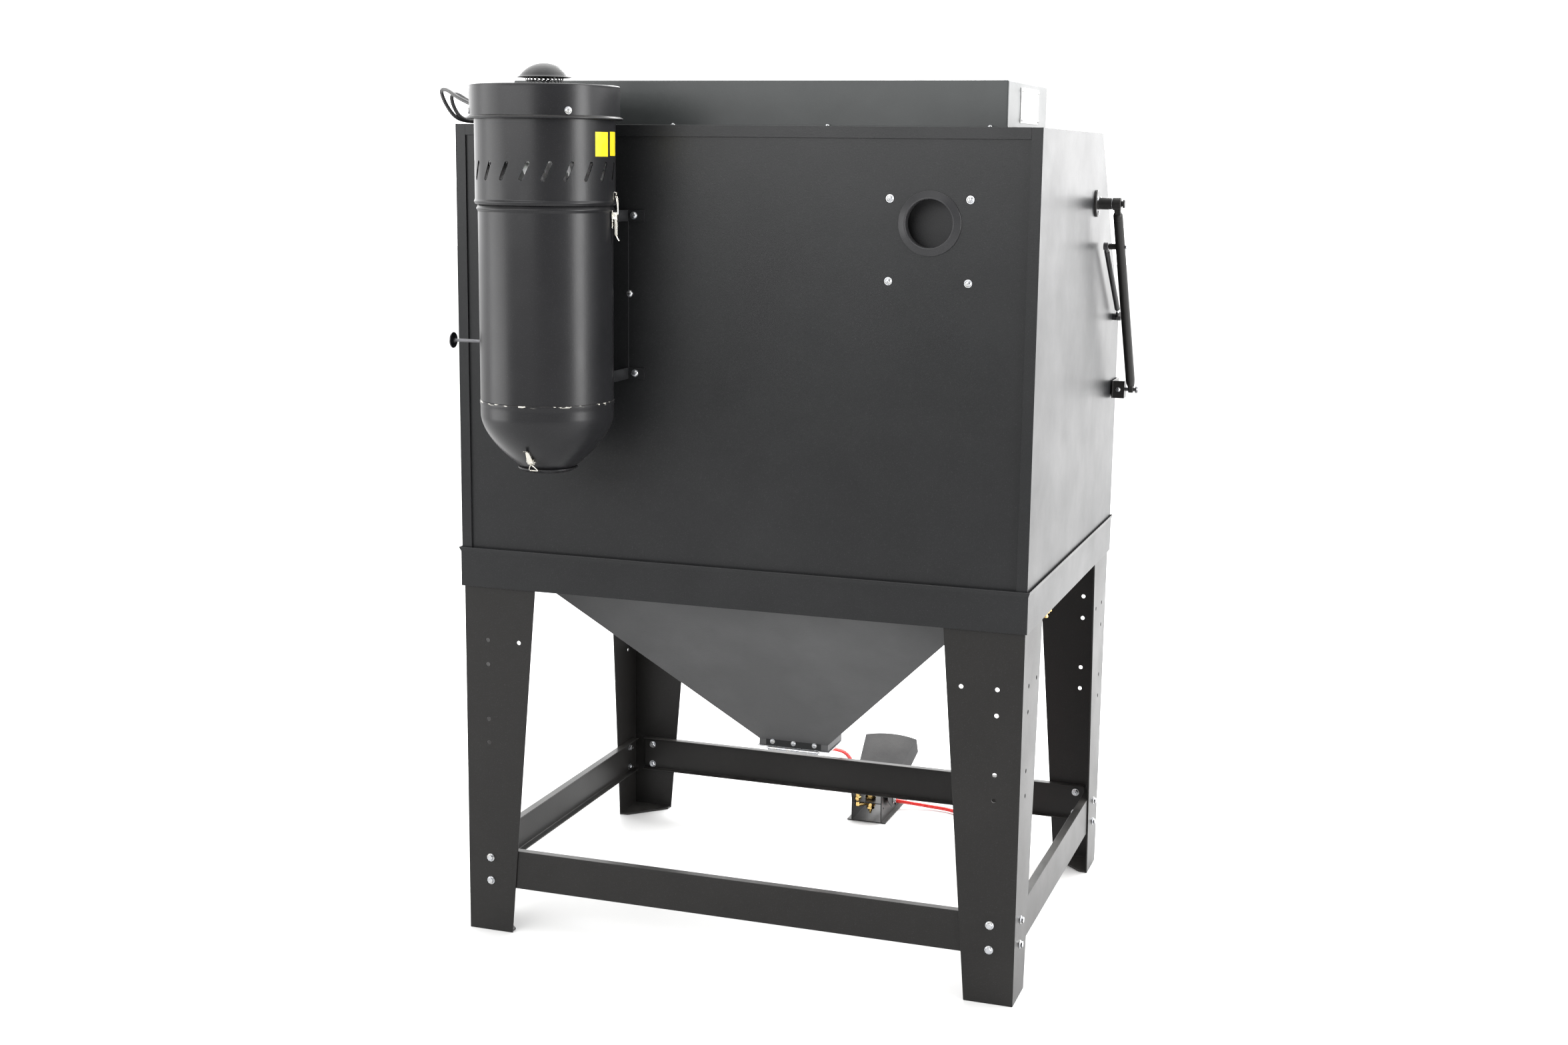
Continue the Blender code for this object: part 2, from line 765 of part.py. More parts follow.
def add_blast_gun():
    middle = Vector((0.000, 0.060, 0.927))
    barrel = cylinder("blast_gun", middle - Vector((0.075, 0, 0)), middle + Vector((0.060, 0, 0)), 0.0170, 20)
    nozzle = cylinder("gun_nozzle", middle + Vector((0.050, 0, 0)), middle + Vector((0.115, 0, 0)), 0.0100, 16)
    grip = cylinder("gun_grip", middle, middle + Vector((-0.020, 0.085, 0)), 0.0140, 16)
    bore = cylinder("gun_bore", middle + Vector((0.070, 0, 0)), middle + Vector((0.130, 0, 0)), 0.0045, 12)
    join_all(barrel, nozzle, grip)
    cut_all(barrel, bore)
    barrel = as_mesh(barrel)
    return finish(barrel, "blast_gun", material("gun_alloy", (0.55, 0.56, 0.57), 0.35, 0.9))


# ---- dust collector ----
def drum_at(z=0.0):
    return (DRUM_X, DRUM_Y, z)


def add_collector_body():
    wall = SHEET
    profile = [
        (DRUM_R - 0.002, HEAD_BOTTOM_Z - GAP),
        (DRUM_R, HEAD_BOTTOM_Z - 0.004),
        (DRUM_R + 0.0028, HEAD_BOTTOM_Z - 0.008),
        (DRUM_R, HEAD_BOTTOM_Z - 0.012),
        (DRUM_R, CONE_TOP_Z + GAP),
        (DRUM_R - wall, CONE_TOP_Z + GAP),
        (DRUM_R - wall, HEAD_BOTTOM_Z - 0.006),
        (DRUM_R - wall - 0.002, HEAD_BOTTOM_Z - GAP),
    ]
    body = turned("collector_body", profile, 40, closed=True, at=drum_at())
    duct_end = HALF_D - HEM + 0.0036
    inlet = cylinder("collector_inlet", (DRUM_X, duct_end, INLET_Z), (DRUM_X, DRUM_Y - DRUM_R + 0.008, INLET_Z), INLET_R, 24)
    inlet_bore = cylinder(
        "collector_inlet_bore", (DRUM_X, duct_end - 0.01, INLET_Z), (DRUM_X, DRUM_Y - 0.110, INLET_Z), INLET_R - 0.002, 24
    )
    gland = cylinder(
        "shaker_gland", (DRUM_X + DRUM_R - 0.001, DRUM_Y, SHAKER_Z), (DRUM_X + DRUM_R + 0.008, DRUM_Y, SHAKER_Z), 0.0075, 6
    )
    rod_hole = cylinder(
        "shaker_hole", (DRUM_X + DRUM_R - 0.010, DRUM_Y, SHAKER_Z), (DRUM_X + DRUM_R + 0.020, DRUM_Y, SHAKER_Z), 0.0038, 16
    )
    join_all(body, inlet, gland)
    cut_all(body, inlet_bore, rod_hole)
    body = as_mesh(body)
    return finish(body, "collector_body", coated("collector_body"))


def add_collector_head():
    profile = [
        (HEAD_R, 1.7550),
        (HEAD_R, HEAD_BOTTOM_Z + 0.008),
        (HEAD_R + 0.0018, HEAD_BOTTOM_Z + 0.004),
        (HEAD_R, HEAD_BOTTOM_Z),
        (HEAD_R - SHEET, HEAD_BOTTOM_Z),
        (HEAD_R - SHEET, 1.7550),
    ]
    head = turned("collector_head", profile, 40, closed=True, at=drum_at())
    slots = bmesh.new()
    for slot in range(SLOT_COUNT):
        azimuth = math.radians(8.5 + 360 / SLOT_COUNT * slot)
        turn = Matrix.Rotation(azimuth, 4, "Z")
        place = Matrix.Translation(drum_at(1.6445)) @ turn @ Matrix.Translation((HEAD_R, 0, 0))
        lean = Matrix.Rotation(math.radians(-25), 4, "X")
        size = Matrix.Diagonal((0.020, 0.0062, 0.040, 1))
        bmesh.ops.create_cube(slots, size=1, matrix=place @ lean @ size)
    cutter = mesh_object("head_slots", slots)
    cut_all(head, cutter)
    head = as_mesh(head)
    return finish(head, "collector_head", coated("collector_head"))


def add_collector_cap():
    inner = CAP_R - SHEET
    profile = [
        (0.0440, CAP_TOP_Z),
        (CAP_R - 0.006, CAP_TOP_Z),
        (CAP_R - 0.0018, CAP_TOP_Z - 0.0018),
        (CAP_R, CAP_TOP_Z - 0.006),
        (CAP_R, CAP_BOTTOM_Z + 0.005),
        (CAP_FLANGE_R, CAP_BOTTOM_Z + 0.005),
        (CAP_FLANGE_R, CAP_BOTTOM_Z),
        (HEAD_R + 0.0006, CAP_BOTTOM_Z),
        (HEAD_R + 0.0006, CAP_BOTTOM_Z + 0.003),
        (inner, CAP_BOTTOM_Z + 0.003),
        (inner, CAP_TOP_Z - 0.006),
        (inner - 0.004, CAP_TOP_Z - SHEET),
        (0.0440, CAP_TOP_Z - SHEET),
    ]
    cap = turned("collector_cap", profile, 40, closed=True, at=drum_at())
    glands = []
    for index, angle in enumerate((-14, -30)):
        away = Vector((math.cos(math.radians(angle)), math.sin(math.radians(angle)), 0))
        middle = Vector(drum_at(1.768))
        glands.append(
            cylinder(f"cap_gland_{index}", middle + away * (CAP_R - 0.001), middle + away * (CAP_R + 0.012), 0.0075, 12)
        )
    join_all(cap, *glands)
    cap = as_mesh(cap)
    return finish(cap, "collector_cap", coated("collector_cap"))


def add_exhaust_vent():
    profile = [(0.0000, 1.8490)]
    for step in range(1, 9):
        angle = math.radians(90) * step / 8
        profile.append((0.0525 * math.sin(angle), 1.8230 + 0.0260 * math.cos(angle)))
    profile += [
        (0.0525, 1.8216),
        (0.0425, 1.8216),
        (0.0425, CAP_TOP_Z - 0.010),
        (0.0405, CAP_TOP_Z - 0.010),
        (0.0405, 1.8270),
        (0.0300, 1.8400),
        (0.0000, 1.8465),
    ]
    vent = turned("exhaust_vent", profile, 28, at=drum_at())
    return finish(vent, "exhaust_vent", coated("exhaust_vent"))


def add_fan_and_filter():
    motor = [
        (0.000, 1.720),
        (0.030, 1.720),
        (0.034, 1.700),
        (0.062, 1.696),
        (0.066, 1.690),
        (0.066, 1.620),
        (0.090, 1.612),
        (0.090, 1.606),
        (0.1335, 1.606),
        (0.1335, 1.600),
        (0.000, 1.600),
    ]
    fan = turned("fan_motor", motor, 32, at=drum_at())
    finish(fan, "fan_motor", material("motor_metal", (0.35, 0.36, 0.37), 0.4, 0.8))
    cartridge = [
        (0.1240, 1.5640),
        (0.1240, 1.5560),
        (0.0900, 1.5560),
        (0.0900, 1.2700),
        (0.0500, 1.2700),
        (0.0500, 1.5640),
    ]
    filters = turned("filter_cartridge", cartridge, 40, closed=True, at=drum_at())
    finish(filters, "filter_cartridge", material("filter_paper", (0.80, 0.77, 0.68), 0.9))


def add_shaker_rod():
    """The rod with its disc knob: pulled out and let go, it knocks dust off the filter."""
    start = 0.0960
    profile = [
        (0.0000, 0.2110),
        (0.0120, 0.2110),
        (0.0160, 0.2085),
        (0.0160, 0.2060),
        (0.0120, 0.2040),
        (0.0050, 0.2030),
        (0.0032, 0.2000),
        (0.0032, start + 0.008),
        (0.0060, start + 0.008),
        (0.0060, start + 0.004),
        (0.0032, start + 0.004),
        (0.0032, start),
        (0.0000, start),
    ]
    rod = turned("shaker_rod", profile, 24, axis="X", at=drum_at(SHAKER_Z))
    return finish(rod, "shaker_rod", material("shaker_steel", (0.10, 0.10, 0.10), 0.4, 0.8))


def cone_radius(z):
    """Outer radius of the rounded bottom cone at a height."""
    reach = (1.172 - z) / (1.172 - CONE_BOTTOM_Z)
    return DRUM_R - (DRUM_R - 0.054) * max(0.0, reach) ** 1.75


def add_collector_cone():
    heights = [CONE_TOP_Z, 1.194, 1.190, 1.172]
    steps = 5
    heights += [1.172 - (1.172 - CONE_BOTTOM_Z) * step / steps for step in range(1, steps + 1)]
    outer = [(cone_radius(z), z) for z in heights]
    outer[1] = (DRUM_R + 0.0012, outer[1][1])
    inner = [(radius - SHEET, z) for radius, z in reversed(outer)]
    cone = turned("collector_cone", outer + inner, 36, closed=True, at=drum_at())
    return finish(cone, "collector_cone", coated("collector_cone"))


def add_collector_lid():
    profile = [
        (0.0000, CONE_BOTTOM_Z - GAP),
        (0.0580, CONE_BOTTOM_Z - GAP),
        (0.0590, CONE_BOTTOM_Z - 0.0025),
        (0.0580, CONE_BOTTOM_Z - 0.0045),
        (0.0500, CONE_BOTTOM_Z - 0.0085),
        (0.0000, CONE_BOTTOM_Z - 0.0100),
    ]
    lid = as_mesh(turned("collector_lid", profile, 40, at=drum_at()))
    hinge = (DRUM_X, DRUM_Y - 0.0635, CONE_BOTTOM_Z - 0.003)
    tab = cylinder("collector_lid_knuckle", Vector(hinge) - Vector((0.014, 0, 0)), Vector(hinge) + Vector((0.014, 0, 0)), 0.0030, 12)
    link_tab = box(
        "collector_lid_tab", (DRUM_X - 0.012, hinge[1], hinge[2] - 0.0015), (DRUM_X + 0.012, DRUM_Y - 0.050, hinge[2] + 0.0015)
    )
    join_all(lid, link_tab, tab)
    lid = as_mesh(lid)
    finish(lid, "collector_lid", coated("collector_lid"))
    return with_origin(lid, hinge)


def latch_body(name, base, outward, upward, length):
    """A toggle latch's lever, hanging from the pin at its base with a turned-out tip."""
    across = outward.cross(upward).normalized()
    frame = Matrix((across, outward, upward)).transposed().to_4x4()
    lever = box(name, (-0.0065, 0.0000, -length), (0.0065, 0.0045, 0.004))
    tip = box(name + "_tip", (-0.0050, 0.0000, -length - 0.008), (0.0050, 0.0080, -length + 0.004))
    hook = box(name + "_hook", (-0.0045, 0.0005, 0.002), (0.0045, 0.0040, 0.010))
    join_all(lever, tip, hook)
    lever = as_mesh(lever)
    lever.data.transform(Matrix.Translation(base) @ frame)
    finish(lever, name, material("latch_zinc", (0.80, 0.78, 0.72), 0.25, 1.0))
    return with_origin(lever, base)


def add_latches():
    angle = math.radians(190)
    outward = Vector((math.cos(angle), math.sin(angle), 0))
    base = Vector(drum_at(1.562)) + outward * (HEAD_R + 0.0045)
    latch_body("side_latch", base, outward, Vector((0, 0, 1)), 0.042)
    lean = math.radians(37)
    angle = math.radians(92)
    around = Vector((math.cos(angle), math.sin(angle), 0))
    outward = (around * math.cos(lean) + Vector((0, 0, -1)) * math.sin(lean)).normalized()
    downward = (Vector((0, 0, -1)) * math.cos(lean) - around * math.sin(lean)).normalized()
    base = Vector(drum_at(1.086)) + around * (cone_radius(1.086) + 0.0035) + outward * 0.0020
    latch_body("bottom_latch", base, outward, downward, 0.028)


def add_collector_bracket():
    """The back plate with four feet and four arms that hold the collector to the cabinet."""
    front = HALF_D - HEM
    outlines = [
        rectangle(DRUM_X - 0.1087, 1.2295, DRUM_X + 0.1087, 1.5690),
        circle(DRUM_X, INLET_Z, INLET_R + 0.003, 24),
    ]
    back = plate("collector_bracket", outlines, 0.003, (0, front + 0.003, 0), (1, 0, 0), (0, 0, 1))
    reach = DRUM_Y - math.sqrt((DRUM_R + 0.0010) ** 2 - 0.1057**2)
    pieces = []
    for z in (1.5577, 1.2410):
        for side in (-1, 1):
            near = DRUM_X + side * 0.1080
            far = DRUM_X + side * 0.1432
            low_x, high_x = sorted((near, far))
            pieces.append(box("bracket_foot", (low_x, front, z - 0.0112), (high_x, front + 0.003, z + 0.0112)))
            low_x, high_x = sorted((DRUM_X + side * 0.1087, DRUM_X + side * 0.1057))
            pieces.append(
                box("bracket_arm", (low_x, front + 0.001, z - 0.0112), (high_x, reach, z + 0.0112))
            )
    join_all(back, *pieces)
    back = as_mesh(back)
    return finish(back, "collector_bracket", coated("collector_bracket"))


# ---- legs and braces ----
def add_leg(name, side_x, side_y):
    """An L-section leg, wider at the top, with its bolt holes and foot plate."""
    width = LEG_FOOT_WIDTH
    sheet = LEG_SHEET
    section = [(0, 0), (width, 0), (width, sheet), (sheet, sheet), (sheet, width), (0, width)]
    corner = Vector((side_x * LEG_X, side_y * LEG_Y, 0))
    leg = plate(name, [[(-side_x * u, -side_y * v) for u, v in section]], LEG_TOP, corner, (1, 0, 0), (0, 1, 0))
    for vertex in leg.data.vertices:
        inwards = vertex.co - corner
        for axis in (0, 1):
            if vertex.co.z > LEG_TOP / 2 and abs(inwards[axis]) > width / 2:
                vertex.co[axis] = corner[axis] + math.copysign(LEG_TOP_WIDTH, inwards[axis])
    sole = [(0.001, 0.001), (width - 0.002, 0.001), (width - 0.002, 0.020), (0.020, width - 0.002), (0.001, width - 0.002)]
    foot = plate(
        name + "_foot", [[(-side_x * u, -side_y * v) for u, v in sole]], 0.004, corner, (1, 0, 0), (0, 1, 0)
    )
    holes = bmesh.new()
    places = [(LEG_HOLE_INSET, z) for z in LEG_HOLE_HEIGHTS] + [(0.125, LEG_HOLE_HEIGHTS[0])]
    for inset, z in places:
        through_y = Matrix.Translation((corner.x - side_x * inset, corner.y, z)) @ Matrix.Rotation(
            math.radians(90), 4, "X"
        )
        through_x = Matrix.Translation((corner.x, corner.y - side_y * inset, z)) @ Matrix.Rotation(
            math.radians(90), 4, "Y"
        )
        for matrix in (through_y, through_x):
            bmesh.ops.create_cone(
                holes,
                cap_ends=True,
                segments=8,
                radius1=LEG_HOLE,
                radius2=LEG_HOLE,
                depth=0.020,
                matrix=matrix,
            )
    cutter = mesh_object(name + "_holes", holes)
    join_all(leg, foot)
    cut_all(leg, cutter)
    leg = as_mesh(leg)
    return finish(leg, name, coated(name))


def channel_outline():
    """The brace's section in (depth, height), its lips turned inwards."""
    sheet = 0.0025
    height = BRACE_TOP - BRACE_BOTTOM
    return [
        (0, 0),
        (BRACE_LIP, 0),
        (BRACE_LIP, sheet),
        (sheet, sheet),
        (sheet, height - sheet),
        (BRACE_LIP, height - sheet),
        (BRACE_LIP, height),
        (0, height),
    ]


def add_braces():
    length = {"x": 2 * 0.578, "y": 2 * 0.434}
    reach_x = LEG_X - LEG_SHEET - GAP
    reach_y = LEG_Y - LEG_SHEET - GAP
    for name, side in (("brace_back", 1), ("brace_front", -1)):
        start = Vector((-side * length["x"] / 2, side * reach_y, BRACE_BOTTOM))
        brace = plate(name, [channel_outline()], length["x"], start, (0, -side, 0), (0, 0, 1))
        middle = sum((vertex.co.x for vertex in brace.data.vertices)) / len(brace.data.vertices)
        brace.data.transform(Matrix.Translation((-middle, 0, 0)))
        finish(brace, name, coated(name))
    for name, side in (("brace_right", 1), ("brace_left", -1)):
        start = Vector((side * reach_x, 0, BRACE_BOTTOM))
        brace = plate(name, [channel_outline()], length["y"], start, (-side, 0, 0), (0, 0, 1))
        middle = sum((vertex.co.y for vertex in brace.data.vertices)) / len(brace.data.vertices)
        brace.data.transform(Matrix.Translation((0, -middle, 0)))
        finish(brace, name, coated(name))


# ---- foot pedal ----
def add_pedal_base():
    half = 0.040
    sheet = 0.0025
    floor = box(
        "pedal_base",
        (PEDAL_X - half - 0.011, PEDAL_FRONT_Y, 0),
        (PEDAL_X + half + 0.011, PEDAL_BACK_Y, sheet),
    )
    wall_outline = [
        (PEDAL_BACK_Y, 0),
        (PEDAL_BACK_Y, 0.0735),
        (TREADLE_Y, 0.0735),
        (PEDAL_FRONT_Y + 0.030, 0.030),
        (PEDAL_FRONT_Y, 0.020),
        (PEDAL_FRONT_Y, 0),
    ]
    pieces = []
    for side in (-1, 1):
        x = PEDAL_X + (half - sheet if side > 0 else -half)
        holes = [circle(PEDAL_BACK_Y - 0.018, 0.035, 0.003, 10)]
        if side < 0:
            holes.append(circle(-0.6650, 0.020, 0.0085, 14))
        pieces.append(plate("pedal_wall", [wall_outline, *holes], sheet, (x, 0, 0), (0, 1, 0), (0, 0, 1)))
    shelf = box(
        "pedal_shelf", (PEDAL_X - half + 0.001, -0.590, 0.0500), (PEDAL_X + half - 0.001, -0.5305, 0.0525)
    )
    pin = cylinder("pedal_pin", (PEDAL_X - 0.0570, TREADLE_Y, TREADLE_Z), (PEDAL_X + 0.0570, TREADLE_Y, TREADLE_Z), 0.0040, 16)
    valve_hole = cylinder("pedal_valve_hole", (PEDAL_X, VALVE_Y, 0.040), (PEDAL_X, VALVE_Y, 0.060), 0.0098, 16)
    riser_hole = cylinder(
        "pedal_riser_hole", (RISER_X, RISER_Y, 0.046), (RISER_X, RISER_Y, 0.060), 0.0066, 12
    )
    join_all(floor, *pieces, shelf, pin)
    cut_all(floor, valve_hole, riser_hole)
    floor = as_mesh(floor)
    return finish(floor, "pedal_base", coated("pedal_base"))


def add_treadle():
    """The foot plate: narrow at its tail, wide at the operator's end, with side flanges."""
    tail = 0.038
    narrow = 0.0475
    wide = 0.0685
    reach = 0.1837
    bulge = 0.012
    front = []
    for step in range(9):
        across = wide * (1 - step / 4)
        front.append((across, -reach - bulge * (1 - (across / wide) ** 2)))
    side = ((narrow, tail), (narrow, 0.014), (narrow, -0.016))
    outline = [(-x, y) for x, y in side] + list(reversed(front)) + list(reversed(side))
    bm = bmesh.new()
    top = [bm.verts.new((x, y, TREADLE_HEIGHT)) for x, y in outline]
    bm.faces.new(top)
    drops = (0.034, 0.066, 0.066, 0.040)
    for edge in (top[:4], top[:-5:-1]):
        lower = [bm.verts.new(vert.co - Vector((0, 0, drop))) for vert, drop in zip(edge, drops)]
        for near in range(3):
            bm.faces.new((edge[near], edge[near + 1], lower[near + 1], lower[near]))
    treadle = mesh_object("treadle", bm)
    sheet = treadle.modifiers.new("Sheet", "SOLIDIFY")
    sheet.thickness = 0.0022
    sheet.offset = 1.0
    treadle.rotation_euler = (-TREADLE_TILT, 0, 0)
    treadle.location = (PEDAL_X, TREADLE_Y, TREADLE_Z)
    treadle = as_mesh(treadle)
    bore = cylinder("treadle_bore", (PEDAL_X - 0.070, TREADLE_Y, TREADLE_Z), (PEDAL_X + 0.070, TREADLE_Y, TREADLE_Z), 0.0045, 16)
    cut_all(treadle, bore)
    treadle = as_mesh(treadle)
    finish(treadle, "treadle", coated("treadle"))
    return with_origin(treadle, (PEDAL_X, TREADLE_Y, TREADLE_Z))


def add_pedal_valve():
    """The brass valve under the shelf: plunger bush, hexagon, outlet and the inlet's riser."""
    profile = [
        (0.0000, 0.0560),
        (0.0050, 0.0560),
        (0.0050, 0.0640),
        (0.0125, 0.0640),
        (0.0125, 0.0528),
        (0.0095, 0.0528),
        (0.0095, 0.0497),
        (0.0130, 0.0497),
        (0.0130, 0.0430),
        (0.0090, 0.0425),
        (0.0090, 0.0240),
        (0.0045, 0.0170),
        (0.0000, 0.0170),
    ]
    valve = turned("pedal_valve", profile, 18, at=(PEDAL_X, VALVE_Y, 0))
    outlet = cylinder("valve_outlet", (PEDAL_X, VALVE_Y, 0.0300), (PEDAL_X, VALVE_Y - 0.0235, 0.0300), 0.0058, 12)
    bridge = cylinder("valve_bridge", (PEDAL_X, VALVE_Y, 0.0420), (RISER_X, RISER_Y, 0.0420), 0.0065, 12)
    riser = cylinder("valve_riser", (RISER_X, RISER_Y, 0.0400), (RISER_X, RISER_Y, 0.0800), 0.0062, 12)
    join_all(valve, outlet, bridge, riser)
    valve = as_mesh(valve)
    finish(valve, "pedal_valve", material("brass", (0.78, 0.57, 0.20), 0.3, 1.0))
    plunger_profile = [
        (0.0000, 0.0818),
        (0.0050, 0.0812),
        (0.0070, 0.0800),
        (0.0070, 0.0770),
        (0.0042, 0.0760),
        (0.0042, 0.0580),
        (0.0000, 0.0580),
    ]
    plunger = turned("valve_plunger", plunger_profile, 18, at=(PEDAL_X, VALVE_Y, 0))
    finish(plunger, "valve_plunger", material("plunger_brass", (0.80, 0.60, 0.25), 0.25, 1.0))


# ---- hoses and cables ----
def smooth_route(points, spacing):
    """A Catmull-Rom curve through hand-chosen points, sampled at about the spacing."""
    points = [Vector(point) for point in points]
    ends = [points[0] * 2 - points[1], *points, points[-1] * 2 - points[-2]]
    route = []
    for before, start, end, after in zip(ends, ends[1:], ends[2:], ends[3:]):
        count = max(2, round((end - start).length / spacing))
        for step in range(count):
            t = step / count
            route.append(
                0.5
                * (
                    2 * start
                    + (end - before) * t
                    + (2 * before - 5 * start + 4 * end - after) * t**2
                    + (3 * start - before - 3 * end + after) * t**3
                )
            )
    return [*route, points[-1]]


HOSE_RADIUS = 0.0050
CABLE_RADIUS = 0.0040
GUN_HOSE_RADIUS = 0.0080

PEDAL_HOSE = [
    (0.0200, -0.5385, 0.0808),
    (0.0200, -0.5385, 0.1000),
    (0.0250, -0.5300, 0.1350),
    (0.0400, -0.4980, 0.1850),
    (0.0580, -0.4560, 0.2080),
    (0.0710, -0.4150, 0.2200),
    (0.0760, -0.3950, 0.2700),
    (0.0740, -0.3850, 0.3600),
    (0.0620, -0.3700, 0.4900),
    (0.0490, -0.3450, 0.5850),
    (0.0450, -0.3020, 0.6200),
    (0.0450, -0.2768, 0.6200),
]

SUPPLY_HOSE = [
    (-0.0060, -0.5908, 0.0300),
    (-0.0060, -0.6020, 0.0290),
    (-0.0100, -0.6350, 0.0240),
    (-0.0260, -0.6600, 0.0200),
    (-0.0460, -0.6660, 0.0195),
    (-0.0850, -0.6740, 0.0150),
    (-0.1350, -0.6850, 0.0085),
    (-0.1950, -0.6760, 0.0070),
    (-0.2650, -0.6300, 0.0070),
    (-0.3250, -0.5300, 0.0070),
    (-0.3700, -0.3800, 0.0120),
    (-0.4000, -0.2300, 0.0700),
    (-0.4150, -0.1150, 0.2200),
    (-0.4200, -0.0450, 0.4200),
    (-0.4180, -0.0240, 0.5700),
    (-0.4000, -0.0200, 0.6300),
    (-0.3840, -0.0200, 0.6400),
    (-0.3708, -0.0200, 0.6400),
]

LONG_CABLE = [
    (0.4896, 0.5771, 1.7680),
    (0.5051, 0.5732, 1.7680),
    (0.5500, 0.5580, 1.7860),
    (0.5920, 0.5320, 1.8020),
    (0.6130, 0.5080, 1.7960),
    (0.6140, 0.4880, 1.7720),
    (0.6040, 0.4620, 1.7520),
    (0.5850, 0.4200, 1.7440),
    (0.5650, 0.3700, 1.7480),
    (0.5500, 0.3350, 1.7660),
    (0.5380, 0.3250, 1.7750),
    (0.5222, 0.3250, 1.7750),
]

SHORT_CABLE = [
    (0.4730, 0.5361, 1.7680),
    (0.4869, 0.5281, 1.7680),
    (0.5420, 0.5060, 1.7840),
    (0.5830, 0.4910, 1.7970),
    (0.6000, 0.4760, 1.7870),
    (0.5960, 0.4560, 1.7640),
    (0.5810, 0.4200, 1.7600),
    (0.5640, 0.3300, 1.7560),
    (0.5540, 0.2600, 1.7560),
    (0.5520, 0.2050, 1.7700),
    (0.5420, 0.1820, 1.7850),
    (0.5222, 0.1800, 1.7850),
]

GUN_HOSE = [
    (-0.0208, 0.1484, 0.9270),
    (-0.0285, 0.1811, 0.9270),
    (-0.0600, 0.2550, 0.9210),
    (-0.1400, 0.3200, 0.9155),
    (-0.2600, 0.3450, 0.9155),
    (-0.3900, 0.3300, 0.9155),
    (-0.4900, 0.2900, 0.9250),
    (-0.5500, 0.2450, 0.9600),
    (-0.5780, 0.2150, 1.0080),
    (-0.5890, 0.2020, 1.0380),
    (-0.6070, 0.2000, 1.0400),
]


def add_cords():
    red = material("red_hose", (0.75, 0.02, 0.02), 0.35)
    black = material("black_cable", (0.02, 0.02, 0.02), 0.45)
    rubber = material("gun_hose_rubber", (0.03, 0.03, 0.03), 0.6)
    cords = (
        ("pedal_hose", PEDAL_HOSE, HOSE_RADIUS, red),
        ("supply_hose", SUPPLY_HOSE, HOSE_RADIUS, red),
        ("motor_cable", LONG_CABLE, CABLE_RADIUS, black),
        ("mains_cable", SHORT_CABLE, CABLE_RADIUS, black),
        ("gun_hose", GUN_HOSE, GUN_HOSE_RADIUS, rubber),
    )
    for name, points, radius, paint in cords:
        cord = tube(name, smooth_route(points, radius * 5), radius, 1)
        finish(cord, name, paint)


def main():
    global part, cutters
    clear_scene()
    part = bpy.data.collections.new("blasting_cabinet")
    cutters = bpy.data.collections.new("cutters")
    cutters.hide_render = True
    bpy.context.scene.collection.children.link(part)
    bpy.context.scene.collection.children.link(cutters)
    add_side_panel("side_panel_left", -1)
    add_side_panel("side_panel_right", 1)
    add_top_panel()
    add_back_panel()
    add_front_panel()
    add_base_rim()
    add_hopper()
    add_trap_door()
    add_work_grate()
    add_port_collar()
    add_light_box()
    add_light_parts()
    add_rockers()
    add_front_lid()
    add_lid_glass()
    add_lid_handle()
    for side, word in ((-1, "left"), (1, "right")):
        add_lift_arm("lift_arm_" + word, side)
        add_pivot_flange("pivot_flange_" + word, side)
        add_strut(side, word)
        add_glove(side, word)
    add_blast_gun()
    add_collector_body()
    add_collector_head()
    add_collector_cap()
    add_exhaust_vent()
    add_fan_and_filter()
    add_shaker_rod()
    add_collector_cone()
    add_collector_lid()
    add_latches()
    add_collector_bracket()
    for word_y, side_y in (("back", 1), ("front", -1)):
        for word_x, side_x in (("left", -1), ("right", 1)):
            add_leg(f"leg_{word_y}_{word_x}", side_x, side_y)
    add_braces()
    add_pedal_base()
    add_treadle()
    add_pedal_valve()
    add_cords()


main()
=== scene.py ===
"""A free-standing abrasive blasting cabinet, seen from the back: pieces, materials, light and camera."""

import math

import bmesh
import bpy
from mathutils import Matrix, Vector


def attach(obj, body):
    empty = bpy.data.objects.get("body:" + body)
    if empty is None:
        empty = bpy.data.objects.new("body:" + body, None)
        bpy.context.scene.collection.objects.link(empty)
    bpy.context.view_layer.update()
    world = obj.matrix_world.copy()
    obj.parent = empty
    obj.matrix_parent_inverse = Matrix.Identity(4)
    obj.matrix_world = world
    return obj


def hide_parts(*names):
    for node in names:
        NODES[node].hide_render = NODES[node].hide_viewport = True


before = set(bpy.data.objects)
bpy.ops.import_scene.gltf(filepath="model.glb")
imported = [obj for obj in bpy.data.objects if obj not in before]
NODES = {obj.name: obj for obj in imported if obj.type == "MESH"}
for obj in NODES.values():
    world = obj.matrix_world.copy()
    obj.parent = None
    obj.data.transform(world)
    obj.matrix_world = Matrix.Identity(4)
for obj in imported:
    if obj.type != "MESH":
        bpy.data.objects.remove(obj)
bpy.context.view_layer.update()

DRUM = Vector((0.3353, 0.6156, 0))
BACK_FACE = 0.4608  # the back panel's outer face
LEG_X = 0.6077
LEG_Y = 0.4605


# ---- camera ----
def add_camera():
    data = bpy.data.cameras.new("camera")
    data.lens = 45.64
    data.sensor_width = 36
    data.clip_end = 200
    camera = bpy.data.objects.new("camera", data)
    bpy.context.scene.collection.objects.link(camera)
    right = Vector((-0.94584, -0.3244, 0.0122))
    up = Vector((0.06938, -0.1653, 0.9838))
    forward = Vector((0.31713, -0.93137, -0.17885))
    place = Matrix((right, up, -forward)).transposed().to_4x4()
    place.translation = (-1.3733, 4.1709, 1.6685)
    camera.matrix_world = place
    bpy.context.scene.camera = camera


